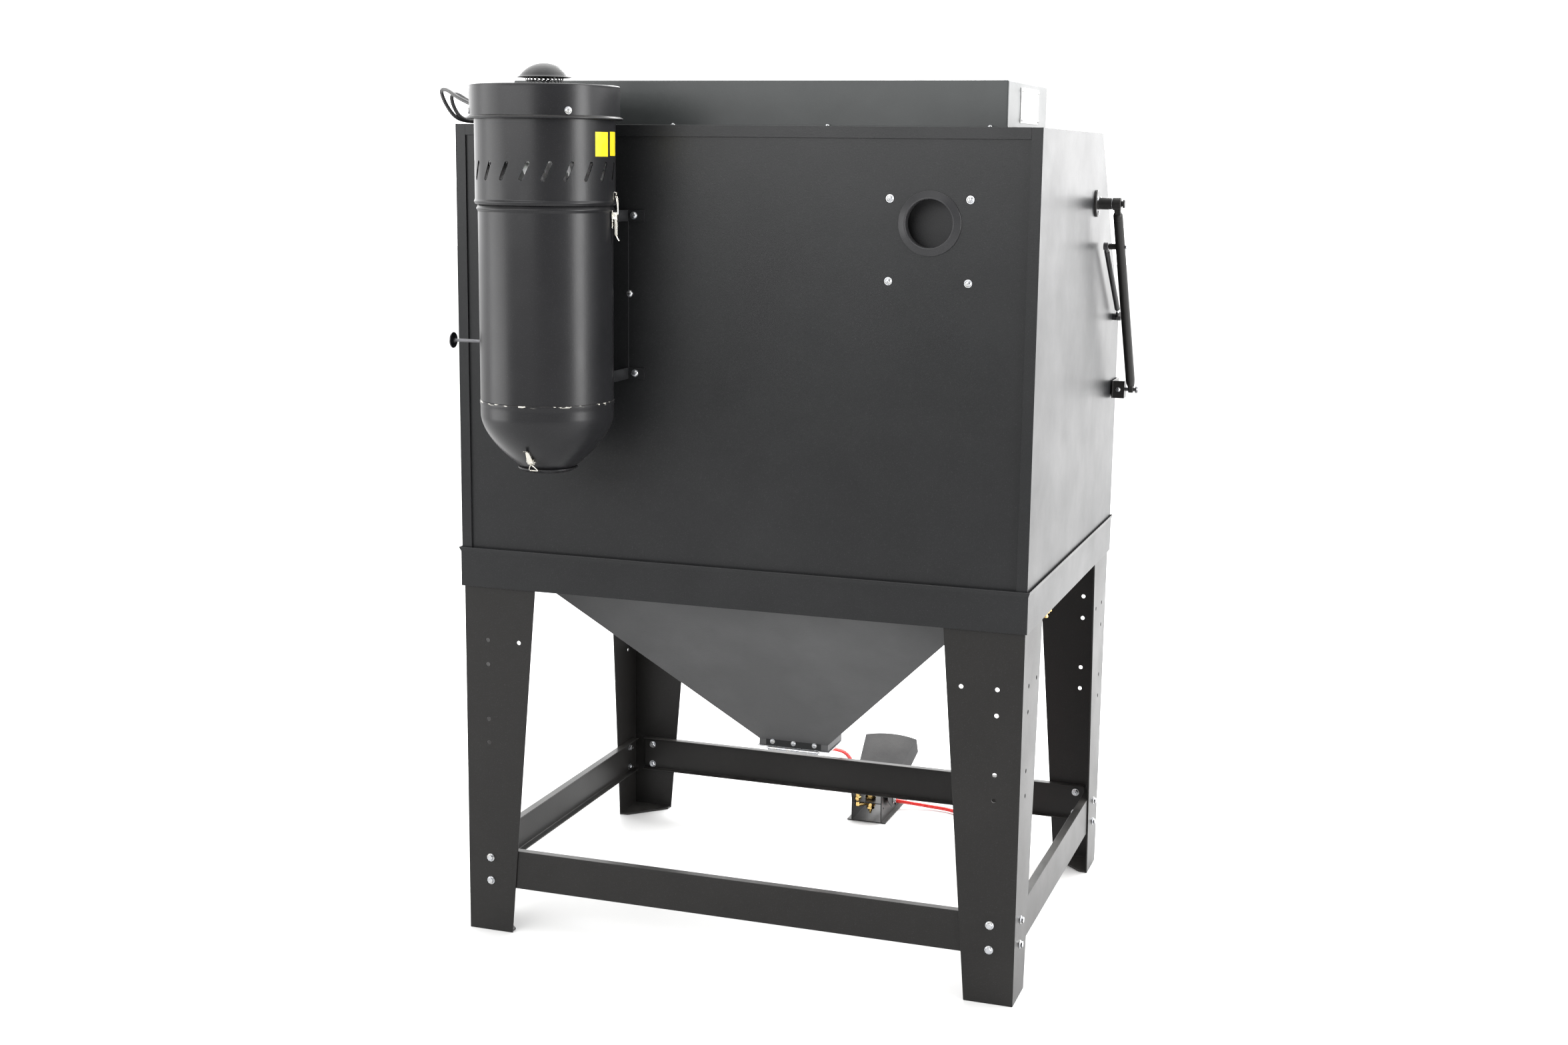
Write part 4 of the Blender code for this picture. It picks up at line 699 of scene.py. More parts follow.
def add_frame_bolts():
    heads = []
    backs = []
    inset = 0.052
    for x in (-1, 1):
        for y in (-1, 1):
            for z in (0.1665, 0.1145):
                heads.append(((x * (LEG_X - inset), y * LEG_Y, z), (0, y, 0)))
                heads.append(((x * LEG_X, y * (LEG_Y - inset), z), (x, 0, 0)))
                backs.append(((x * (LEG_X - inset), y * (LEG_Y - 0.0059), z), (0, -y, 0)))
                backs.append(((x * (LEG_X - 0.0059), y * (LEG_Y - inset), z), (-x, 0, 0)))
    bolts("frame_bolts", heads)
    nuts("frame_nuts", backs)
    rim = []
    for x in (-1, 1):
        for y in (-1, 1):
            for along in (0.06, 0.13):
                rim.append(((x * (LEG_X - along), y * (LEG_Y - 0.003), 0.8), (0, -y, 0)))
                rim.append(((x * (LEG_X - 0.003), y * (LEG_Y - along), 0.8), (-x, 0, 0)))
    nuts("rim_nuts", rim)


def add_hopper_details():
    bm = bmesh.new()
    block(bm, (-0.0655, 0.0504, 0.3612), (0.0655, 0.0526, 0.3796))
    soften(from_bmesh("hinge_strap", bm, COAT), 0.0007)
    screws(
        "hinge_strap_screws", [((x, 0.0526, 0.3705), (0, 1, 0)) for x in (-0.05, 0.0, 0.05)], radius=0.0046,
        height=0.0026,
    )
    dressed("trap_door", ZINC, 0.0005, body="trap")
    bm = bmesh.new()
    knuckles = (
        (-0.0585, -0.0365), (-0.0345, -0.0125), (-0.0105, 0.0115), (0.0135, 0.0355), (0.0375, 0.0585),
    )
    for start, end in knuckles:
        rod(bm, (start, 0.054, 0.355), (end, 0.054, 0.355), 0.0046, 24)
    rod(bm, (-0.064, 0.054, 0.355), (0.064, 0.054, 0.355), 0.0018, 12)
    soften(from_bmesh("trap_knuckles", bm, ZINC, "trap"), 0.0004)
    bm = bmesh.new()
    rod(bm, (0.045, -0.259, 0.62), (0.045, -0.2772, 0.62), 0.0125, 28)
    hexagon(bm, (0.045, -0.26, 0.62), (0, -1, 0), 0.019, 0.011)
    rod(bm, (-0.354, -0.02, 0.64), (-0.3712, -0.02, 0.64), 0.0125, 28)
    hexagon(bm, (-0.355, -0.02, 0.64), (-1, 0, 0), 0.019, 0.011)
    soften(from_bmesh("hopper_fittings", bm, BRASS, smooth=25), 0.0003)
    for name, at, axis in (
        ("fitting_collet_front", (0.045, -0.2765, 0.62), (0, -1, 0)),
        ("fitting_collet_left", (-0.3705, -0.02, 0.64), (-1, 0, 0)),
    ):
        turned(
            name,
            [
                (0.0054, 0.0), (0.0098, 0.0), (0.0098, 0.0022), (0.007, 0.003), (0.007, 0.0052),
                (0.0056, 0.006),
            ],
            at, BLACK, axis, 32, closed=True,
        )


def add_air_inlet():
    """The brass compressed-air inlet that hangs below the rim on the left."""
    at = Vector((-0.596, 0.205, 0.0))
    bm = bmesh.new()
    block(bm, (-0.608, 0.188, 0.776), (-0.582, 0.222, 0.8))
    soften(from_bmesh("inlet_block", bm, BLACK), 0.0015, 3)
    turned(
        "inlet_nipple",
        [
            (0.0, 0.748), (0.004, 0.748), (0.0052, 0.749), (0.0052, 0.7515), (0.004, 0.753),
            (0.004, 0.7565), (0.006, 0.758), (0.0078, 0.758), (0.0078, 0.761), (0.01, 0.7615),
            (0.01, 0.7765), (0.0, 0.7765),
        ],
        at, BRASS, steps=32,
    )
    bm = bmesh.new()
    hexagon(bm, (at.x, at.y, 0.762), (0, 0, 1), 0.0215, 0.011)
    from_bmesh("inlet_hex", bm, BRASS, smooth=25)


PORT_SCREWS = [(x, z) for x in (-0.316, -0.474) for z in (1.601, 1.4435)]


def add_port():
    centre = Vector((-0.3955, BACK_FACE, 1.555))
    profile = [
        (0.062, 0.0), (0.062, 0.0016), (0.0612, 0.0026), (0.0498, 0.0068),
        *arc((0.0481, 0.006), 0.0019, 60, 180, 8), (0.0462, -0.013), (0.0476, -0.013), (0.0476, 0.0),
    ]
    ring = turned("port_ring", profile, centre, COAT_RING, (0, 1, 0), 128, closed=True)
    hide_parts("port_collar")
    bm = bmesh.new()
    block(bm, (-0.495, 0.42, 1.426), (-0.295, 0.4216, 1.62))
    block(bm, (-0.495, 0.4205, 1.6184), (-0.295, 0.433, 1.62))
    block(bm, (-0.495, 0.4205, 1.426), (-0.295, 0.433, 1.4276))
    for x, z in PORT_SCREWS:
        rod(bm, (x, 0.4214, z), (x, 0.4584, z), 0.005)
    soften(from_bmesh("port_baffle", bm, COAT_INSIDE), 0.0004)


def add_panel_screws():
    heads = [(x, BACK_FACE, z) for x, z in PORT_SCREWS]
    heads += [(x, BACK_FACE, 1.4019) for x in (0.2251, 0.4455)]
    bracket_feet = ((0.2141, 1.5583), (0.212, 1.2418), (0.4565, 1.5577), (0.459, 1.241))
    heads += [(x, BACK_FACE + 0.003, z) for x, z in bracket_feet]
    screws("panel_screws", [(at, (0, 1, 0)) for at in heads], radius=0.0064, height=0.0036)
    screws(
        "light_box_screws",
        [((x, y, 1.7384), (0, 0, 1)) for x in (-0.489, -0.163, 0.163, 0.489) for y in (0.3825, 0.003)],
        radius=0.004, height=0.0026,
    )


# ---- light box ----
def add_light_parts():
    repaint("light_window", GLASS)
    middle = Vector((0, 0.193, 1.785))
    half = 0.45
    profile = [(0.0, -half + 0.012), (0.0122, -half + 0.012)]
    profile += arc((0.01, -half + 0.016), 0.0026, -40, 0, 3)
    profile += [(0.0126, half - 0.016), (0.0122, half - 0.012), (0.0, half - 0.012)]
    tube_glass = turned("lamp_tube", profile, middle, LAMP, (1, 0, 0), 40)
    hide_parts("light_tube")
    for name, side in (("lamp_cap_left", -1), ("lamp_cap_right", 1)):
        turned(
            name,
            [(0.0, 0.0), (0.0118, 0.0), (0.013, 0.0012), (0.013, 0.015), (0.0124, 0.016), (0.0, 0.016)],
            middle + Vector((side * (half - 0.001), 0, 0)), ZINC, (-side, 0, 0), 36,
        )
    bm = bmesh.new()
    for side in (-1, 1):
        block(bm, (side * 0.4505, 0.178, 1.77), (side * 0.464, 0.208, 1.8236))
    block(bm, (-0.47, 0.168, 1.813), (0.47, 0.218, 1.8236))
    soften(from_bmesh("lamp_holder", bm, WHITE), 0.0012)
    bm = bmesh.new()
    block(bm, (-0.5233, 0.1035, 1.748), (-0.52165, 0.266, 1.816))
    soften(from_bmesh("lamp_cover_plate", bm, WHITE), 0.0006)
    screws(
        "cover_plate_screws",
        [((-0.5233, y, z), (-1, 0, 0)) for y in (0.1095, 0.26) for z in (1.754, 1.81)], radius=0.0032,
        height=0.002,
    )


def add_rockers():
    face = 0.5216
    level = 1.785
    for word, body, middle in (("light", "rocker_light", 0.23), ("dust", "rocker_dust", 0.29)):
        bezel, hole = bmesh.new(), bmesh.new()
        for bm, near, far, wide, high in (
            (bezel, -0.0006, 0.0022, 0.0135, 0.0155), (hole, -0.01, 0.01, 0.0094, 0.0126),
        ):
            block(bm, (face + near, middle - wide, level - high), (face + far, middle + wide, level + high))
        soften(cut(from_bmesh(f"rocker_bezel_{word}", bezel, BLACK), hole), 0.0006)
        outline = [(-0.004, -0.0108), (0.0052, -0.0108), *arc((0.0162, 0.0), 0.0142, 220, 140, 8)]
        outline += [(0.0042, 0.0108), (-0.004, 0.0108)]
        bm = bmesh.new()
        sides = (middle - 0.0088, middle + 0.0088)
        prism(bm, [[(face - 0.0006 + x, y, level + z) for x, z in outline] for y in sides])
        bmesh.ops.recalc_face_normals(bm, faces=bm.faces)
        rocker = soften(from_bmesh(f"rocker_{word}_key", bm, BLACK, body), 0.0006)
        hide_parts("rocker_switch_" + word)


# ---- dust collector ----
def add_collector_shell():
    bead = 1.572
    body = turned(
        "collector_drum",
        [
            (0.131, 1.2003), (0.131, bead - 0.0062), (0.1314, bead - 0.005),
            *[(0.1314 + polar(0.0024, 18 * k)[1], bead - 0.0042 + 0.00084 * k) for k in range(1, 10)],
            (0.1314, bead + 0.005), (0.1307, bead + 0.0066), (0.13, 1.5797), (0.1284, 1.5797),
            (0.129, 1.57), (0.129, 1.2003),
        ],
        DRUM, COAT_DRUM, steps=160, closed=True,
    )
    turned(
        "collector_inlet_duct", [(0.04, 0.0), (0.04, 0.029), (0.038, 0.029), (0.038, 0.0)],
        (DRUM.x, 0.4646, 1.4), COAT, (0, 1, 0), 64, closed=True,
    )
    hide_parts("collector_body")
    bm = bmesh.new()
    rod(bm, (0.4658, DRUM.y, 1.308), (0.4682, DRUM.y, 1.308), 0.0098, 28)
    hexagon(bm, (0.468, DRUM.y, 1.308), (1, 0, 0), 0.013, 0.0072)
    from_bmesh("shaker_gland_nut", bm, ZINC, smooth=25)
    head = turned(
        "collector_upper_shell",
        [
            (0.136, 1.755), (0.136, 1.5905),
            *[(0.136 + polar(0.0019, 20 * k)[1], 1.5895 - 0.00088 * k) for k in range(1, 9)],
            (0.136, 1.5812), (0.1355, 1.5802), (0.1345, 1.5802), (0.1345, 1.755),
        ],
        DRUM, COAT_DRUM, steps=160, closed=True,
    )
    slots = bmesh.new()
    outline = arc((0.0, 0.0162), 0.004, 0, 180, 9) + arc((0.0, -0.0162), 0.004, 180, 360, 9)
    for index in range(20):
        place = (
            Matrix.Translation(DRUM + Vector((0, 0, 1.6445)))
            @ Matrix.Rotation(math.radians(8.5 + 18 * index), 4, "Z")
            @ Matrix.Translation((0.136, 0, 0))
            @ Matrix.Rotation(math.radians(-25), 4, "X")
        )
        ends = [[place @ Vector((x, y, z)) for y, z in outline] for x in (-0.01, 0.01)]
        prism(slots, ends)
    bmesh.ops.recalc_face_normals(slots, faces=slots.faces)
    cut(head, slots)
    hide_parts("collector_head")


def add_cap():
    top = 1.8063
    cap = turned(
        "collector_top_cap",
        [
            (0.044, top - 0.0012), (0.133, top - 0.0012), (0.1385, top - 0.0004),
            *arc((0.1424, top - 0.0026), 0.0026, 100, 0, 7), (0.1446, top - 0.006), (0.145, top - 0.008),
            (0.145, 1.7492), (0.1456, 1.7478), *arc((0.1487, 1.7441), 0.0023, 75, -90, 8), (0.1372, 1.7414),
            (0.1372, 1.7432), (0.143, 1.744), (0.1435, 1.75), (0.1435, top - 0.008), (0.14, top - 0.003),
            (0.044, top - 0.003),
        ],
        DRUM, COAT_DRUM, steps=160, closed=True,
    )
    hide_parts("collector_cap")
    screws(
        "cap_screws", [(around(0.145, angle, 1.757), outwards(angle)) for angle in (133, 30, 252)],
        radius=0.0058, height=0.0034,
    )
    for index, angle in enumerate((-14, -30)):
        away = outwards(angle)
        turned(
            f"cap_gland_{index}",
            [
                (0.0, -0.001), (0.0092, -0.001), (0.0092, 0.0028), (0.0076, 0.0034), (0.0076, 0.01),
                (0.0068, 0.0122), (0.0042, 0.0124), (0.0, 0.0124),
            ],
            around(0.145, angle, 1.768), BLACK, away, 32,
        )


def add_reliefs():
    """Tapered strain reliefs where the two mains leads leave the cap and enter the light box."""
    for name, points in (("motor_cable", LONG_CABLE), ("mains_cable", SHORT_CABLE)):
        line = route(points, 0.003)
        for word, run in (("cap", line), ("box", list(reversed(line)))):
            reach = 0.0
            places = [run[0]]
            radii = [0.0066]
            for before, after in zip(run, run[1:]):
                reach += (after - before).length
                if reach > 0.024:
                    break
                places.append(after)
                radii.append(0.0066 - 0.0021 * reach / 0.024)
            tapered(f"{name}_relief_{word}", places, radii, BLACK)
    for index, (y, z) in enumerate(((0.325, 1.775), (0.18, 1.785))):
        bm = bmesh.new()
        rod(bm, (0.5216, y, z), (0.5236, y, z), 0.0105, 32)
        hexagon(bm, (0.5234, y, z), (1, 0, 0), 0.017, 0.0052)
        soften(from_bmesh(f"box_gland_{index}", bm, BLACK, smooth=25), 0.0004)


def add_vent():
    top = 1.849
    rim = 0.049
    low = 1.8238
    ball = (rim**2 + (top - low) ** 2) / (2 * (top - low))
    profile = []
    inner = []
    for step in range(19):
        radius = rim * step / 18
        height = top - ball + math.sqrt(ball**2 - radius**2)
        profile.append((radius, height))
        inner.append((radius, height - 0.0012))
    lip = ((0.0511, 0.0011), (0.0524, 0.0017), (0.0526, 0.0024), (0.0519, 0.0027))
    profile += [(radius, low - drop) for radius, drop in lip]
    profile += reversed(inner)
    dome_piece = turned("vent_dome", profile, DRUM, COAT, steps=96)
    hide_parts("exhaust_vent")
    band = turned(
        "vent_band",
        [
            (0.045, 1.8052), (0.045, 1.8066), (0.0372, 1.8072), (0.0368, 1.808), (0.0368, 1.829),
            (0.036, 1.829), (0.036, 1.806), (0.0364, 1.8052),
        ],
        DRUM, COAT, steps=144, closed=True,
    )
    holes = bmesh.new()
    for row, z in enumerate((1.8126, 1.8188, 1.825)):
        for k in range(27):
            angle = 360 / 27 * (k + 0.5 * (row % 2))
            rod(holes, around(0.034, angle, z), around(0.039, angle, z), 0.0028, 12)
    cut(band, holes)


def cone_radius(z):
    reach = (1.172 - z) / (1.172 - 1.0665)
    return 0.131 - (0.131 - 0.054) * max(0.0, reach) ** 1.75


def add_cone():
    heights = [1.172 - (1.172 - 1.0665) * k / 26 for k in range(27)]
    outer = [(0.1306, 1.2), (0.1322, 1.199), (0.1322, 1.1935), (0.1312, 1.1915), (0.131, 1.185)]
    outer += [(cone_radius(z), z) for z in heights]
    inner = [(radius - 0.0015, z) for radius, z in reversed(outer)]
    cone = turned("collector_bin", outer + inner, DRUM, COAT_CHIPPED, steps=160, closed=True)
    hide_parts("collector_cone")
    base = 1.0662
    lid = turned(
        "bin_lid",
        [
            (0.0, base), (0.0575, base), *arc((0.0575, base - 0.0016), 0.0016, 90, -90, 8),
            (0.056, base - 0.0036), (0.05, base - 0.008), (0.042, base - 0.0096), (0.0, base - 0.0098),
        ],
        DRUM, COAT_DRUM, steps=112, body="ash_lid",
    )
    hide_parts("collector_lid")
    bm = bmesh.new()
    block(bm, (DRUM.x - 0.012, 0.5521, 1.0622), (DRUM.x + 0.012, 0.566, 1.065))
    for start, end in ((-0.014, -0.0052), (-0.0044, 0.0044), (0.0052, 0.014)):
        rod(bm, (DRUM.x + start, 0.5521, 1.0635), (DRUM.x + end, 0.5521, 1.0635), 0.0031, 20)
    rod(bm, (DRUM.x - 0.0155, 0.5521, 1.0635), (DRUM.x + 0.0155, 0.5521, 1.0635), 0.0013, 12)
    soften(from_bmesh("bin_lid_hinge", bm, COAT, "ash_lid"), 0.0003)
    bm = bmesh.new()
    block(bm, (DRUM.x - 0.011, 0.55, 1.0668), (DRUM.x + 0.011, 0.556, 1.0682))
    block(bm, (DRUM.x - 0.011, 0.5545, 1.0668), (DRUM.x + 0.011, 0.562, 1.086))
    soften(from_bmesh("bin_hinge_leaf", bm, COAT), 0.0003)


def add_latch(word, body, base, outward, upward, length, bail_length, half):
    """A toggle latch: back plate with ears, channel lever with turned tip, and a wire bail."""
    across = outward.cross(upward).normalized()
    place = framed(across, outward, upward, base)
    bm = bmesh.new()
    gap = 0.007
    block(bm, (-0.0062, -gap, -length * 0.62), (0.0062, -gap + 0.0012, 0.009))
    for x in (-0.0074, 0.0062):
        block(bm, (x, -gap, -0.008), (x + 0.0012, 0.0022, 0.0052))
    for z in (-length * 0.5, -length * 0.28):
        bmesh.ops.create_uvsphere(
            bm, u_segments=16, v_segments=8, radius=1,
            matrix=Matrix.Translation((0, -gap + 0.001, z)) @ Matrix.Diagonal((0.0026, 0.0016, 0.0026, 1)),
        )
    rod(bm, (-0.0088, 0, 0), (0.0088, 0, 0), 0.0016, 16)
    bmesh.ops.transform(bm, matrix=place, verts=bm.verts)
    bmesh.ops.recalc_face_normals(bm, faces=bm.faces)
    soften(from_bmesh(f"{word}_latch_base", bm, NICKEL, smooth=30), 0.0003)
    bm = bmesh.new()
    lever = (
        (0.005, 0.0056, 0.0026), (-length * 0.35, 0.0056, 0.0034), (-length * 0.88, 0.0038, 0.003),
        (-length, 0.0034, 0.003), (-length - 0.0075, 0.0044, 0.0078),
    )
    rows = []
    for z, wide, out in lever:
        depth = 0.0052 if z > -length * 0.95 else 0.0022
        inner = wide - 0.001
        section = [(-wide, out - depth), (-wide, out), (wide, out), (wide, out - depth)]
        channel = out - 0.001
        section += [(inner, out - depth), (inner, channel), (-inner, channel), (-inner, out - depth)]
        rows.append([bm.verts.new(place @ Vector((x, y, z))) for x, y in section])
    skin(bm, rows)
    for row in (rows[0], rows[-1]):
        bm.faces.new((row[0], row[1], row[6], row[7]))
        bm.faces.new((row[1], row[2], row[5], row[6]))
        bm.faces.new((row[2], row[3], row[4], row[5]))
    bmesh.ops.recalc_face_normals(bm, faces=bm.faces)
    piece = soften(from_bmesh(f"{word}_latch_lever", bm, NICKEL, body, smooth=30), 0.0003)
    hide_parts(word + "_latch")
    loop = [
        (-0.0012, 0.0034, 0.001), (-0.0016, 0.0036, 0.006), (-half * 0.62, 0.003, bail_length * 0.52),
        (-half, 0.0016, bail_length * 0.86), (-half * 0.94, 0.0004, bail_length * 0.97),
        (-half * 0.62, -0.0004, bail_length), (0, -0.0006, bail_length + 0.0004),
        (half * 0.62, -0.0004, bail_length), (half * 0.94, 0.0004, bail_length * 0.97),
        (half, 0.0016, bail_length * 0.86), (half * 0.62, 0.003, bail_length * 0.52),
        (0.0016, 0.0036, 0.006), (0.0012, 0.0034, 0.001),
    ]
    line = route([place @ Vector(point) for point in loop], 0.0016)
    tube(f"{word}_latch_bail", line, 0.001, NICKEL, sides=4)
    return place


def add_latches():
    outward = outwards(190)
    base = around(0.1405, 190, 1.562)
    up = Vector((0, 0, 1))
    place = add_latch("side", "latch_side", base, outward, up, 0.042, 0.0365, 0.0058)
    bm = bmesh.new()
    folded(
        bm, place,
        [
            (-0.0044, 0.0275), (-0.0044, 0.042), (-0.003, 0.044), (0.0012, 0.044), (0.0022, 0.0425),
            (0.0022, 0.038),
        ],
        0.0011, -0.0048, 0.0048,
    )
    from_bmesh("side_latch_catch", bm, NICKEL)
    lean = math.radians(37)
    away = outwards(92)
    outward = (away * math.cos(lean) - up * math.sin(lean)).normalized()
    downward = (-up * math.cos(lean) - away * math.sin(lean)).normalized()
    base = around(cone_radius(1.086) + 0.0035, 92, 1.086) + outward * 0.002
    add_latch("bottom", "latch_bottom", base, outward, downward, 0.028, 0.0245, 0.0088)


def add_fan_and_filter():
    motor = turned(
        "fan_casing",
        [
            (0.0, 1.719), (0.027, 1.719), (0.03, 1.717), (0.033, 1.7), (0.06, 1.6965), (0.065, 1.692),
            *[(0.066 - 0.0012 * (k % 2), 1.688 - 0.004 * k) for k in range(17)], (0.064, 1.618),
            (0.088, 1.6125), (0.09, 1.609), (0.133, 1.606), (0.1334, 1.6002), (0.0, 1.6002),
        ],
        DRUM, ALLOY, steps=96,
    )
    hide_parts("fan_motor")
    bm = bmesh.new()
    blade = Matrix.Translation((0.096, 0, 1.642))
    lean = Matrix.Rotation(math.radians(22), 4, "X")
    for k in range(14):
        turn = Matrix.Translation(DRUM) @ Matrix.Rotation(math.radians(360 / 14 * k + 4), 4, "Z")
        verts = block(bm, (-0.022, -0.0006, -0.02), (0.022, 0.0006, 0.02))
        bmesh.ops.transform(bm, matrix=turn @ blade @ lean, verts=verts)
    soften(from_bmesh("fan_blades", bm, ALLOY), 0.0004)
    turned(
        "fan_shroud",
        [(0.117, 1.66), (0.121, 1.66), (0.1216, 1.664), (0.1216, 1.676), (0.1196, 1.676), (0.117, 1.664)],
        DRUM, ALLOY, steps=96, closed=True,
    )
    pleats = 90
    bm = bmesh.new()
    rings = []
    low, high = 1.274, 1.5545
    for ridge, valley, z in (
        (0.089, 0.08, low), (0.089, 0.08, high), (0.052, 0.052, high), (0.052, 0.052, low),
    ):
        radii = [ridge if k % 2 else valley for k in range(2 * pleats)]
        rings.append([bm.verts.new(around(radius, 180 / pleats * k, z)) for k, radius in enumerate(radii)])
    skin(bm, rings, closed=True)
    bmesh.ops.recalc_face_normals(bm, faces=bm.faces)
    paper_piece = from_bmesh("filter_pleats", bm, PAPER, smooth=20)
    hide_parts("filter_cartridge")
    for word, low, high, radius in (("low", 1.269, 1.278, 0.0905), ("top", 1.554, 1.564, 0.124)):
        turned(
            "filter_ring_" + word,
            [
                (0.0505, low), (radius, low), (radius, high), (radius - 0.0015, high + 0.0004),
                (0.0505, high),
            ],
            DRUM, ZINC, steps=96, closed=True,
        )


def add_shaker():
    knob = turned(
        "shaker_pull_rod",
        [
            (0.0, 0.096), (0.0032, 0.096), (0.0032, 0.1995), (0.004, 0.2008), (0.0058, 0.2028),
            (0.0118, 0.204), *arc((0.0142, 0.2062), 0.0018, -60, 60, 5), (0.0118, 0.2092), (0.006, 0.2106),
            (0.0, 0.211),
        ],
        (DRUM.x, DRUM.y, 1.308), DARK_STEEL, (1, 0, 0), 64, "shaker",
    )
    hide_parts("shaker_rod")


def add_labels():
    """Two plain yellow stickers on the collector's upper shell."""
    steps = 18
    stickers = (("large", 159.5, 176.5, 1.673, 1.719), ("small", 180.5, 195.5, 1.6745, 1.72))
    for word, start, end, low, high in stickers:
        bm = bmesh.new()
        angles = [start + (end - start) * k / steps for k in range(steps + 1)]
        rows = []
        for radius in (0.1361, 0.13635):
            for z in (low, high):
                rows.append([bm.verts.new(around(radius, angle, z)) for angle in angles])
        inner_low, inner_high, outer_low, outer_high = rows
        for k in range(steps):
            bm.faces.new((outer_low[k], outer_low[k + 1], outer_high[k + 1], outer_high[k]))
            bm.faces.new((inner_low[k], inner_high[k], inner_high[k + 1], inner_low[k + 1]))
            bm.faces.new((outer_high[k], outer_high[k + 1], inner_high[k + 1], inner_high[k]))
            bm.faces.new((inner_low[k], inner_low[k + 1], outer_low[k + 1], outer_low[k]))
        for k in (0, steps):
            bm.faces.new((inner_low[k], outer_low[k], outer_high[k], inner_high[k]))
        bmesh.ops.recalc_face_normals(bm, faces=bm.faces)
        from_bmesh("label_" + word, bm, YELLOW)


# ---- lid, arms and struts ----
SLOPE = Vector((0, -0.295, -0.426)).normalized()
OUT = Vector((0, SLOPE.z, -SLOPE.y))  # the front slope's outward direction
LID_TOP = Vector((0, -0.17, 1.736)) + SLOPE * 0.03
PIVOT = Vector((0, -0.1135, 1.588))
STUD = Vector((0, -0.385, 1.328))
ARM_X = 0.655
ARM_LENGTH = 0.52
LUG_AT = 0.113  # the strut's lug, along the arm from its pivot


def arm_at(along, x):
    return Vector((x, PIVOT.y, PIVOT.z)) + SLOPE * along


def add_lid():
    dressed("front_lid", COAT, 0.0009, body="lid")
    repaint("lid_glass", GLASS)
    inset = 0.014
    low, high = 0.085 + inset, 0.4 - inset
    wide = 0.33 - inset
    corners = []
    for x, along, start in ((wide, low, -90), (wide, high, 0), (-wide, high, 90), (-wide, low, 180)):
        for across, down in arc((x, along), inset, start, start + 90):
            corners.append(LID_TOP + Vector((across, 0, 0)) + SLOPE * down - OUT * 0.0022)
    tube("window_seal", corners, 0.003, GASKET, "lid", cyclic=True)
    front = -0.4653
    points = [(-0.09, front, 1.2), (-0.09, front - 0.028, 1.2)]
    points += [(x, y, 1.2) for x, y in arc((-0.077, front - 0.029), 0.013, 190, 270, 8)]
    points += [(-x, y, z) for x, y, z in reversed(points)]
    handle = tube("lid_pull", points, 0.0065, BLACK, "lid", sides=8)
    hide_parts("lid_handle")
    for name, x in (("pull_foot_left", -0.09), ("pull_foot_right", 0.09)):
        turned(
            name,
            [(0.0, 0.0), (0.0125, 0.0), (0.0125, 0.0018), (0.011, 0.004), (0.0085, 0.0062), (0.0, 0.0062)],
            (x, front, 1.2), BLACK, (0, -1, 0), 40, "lid",
        )


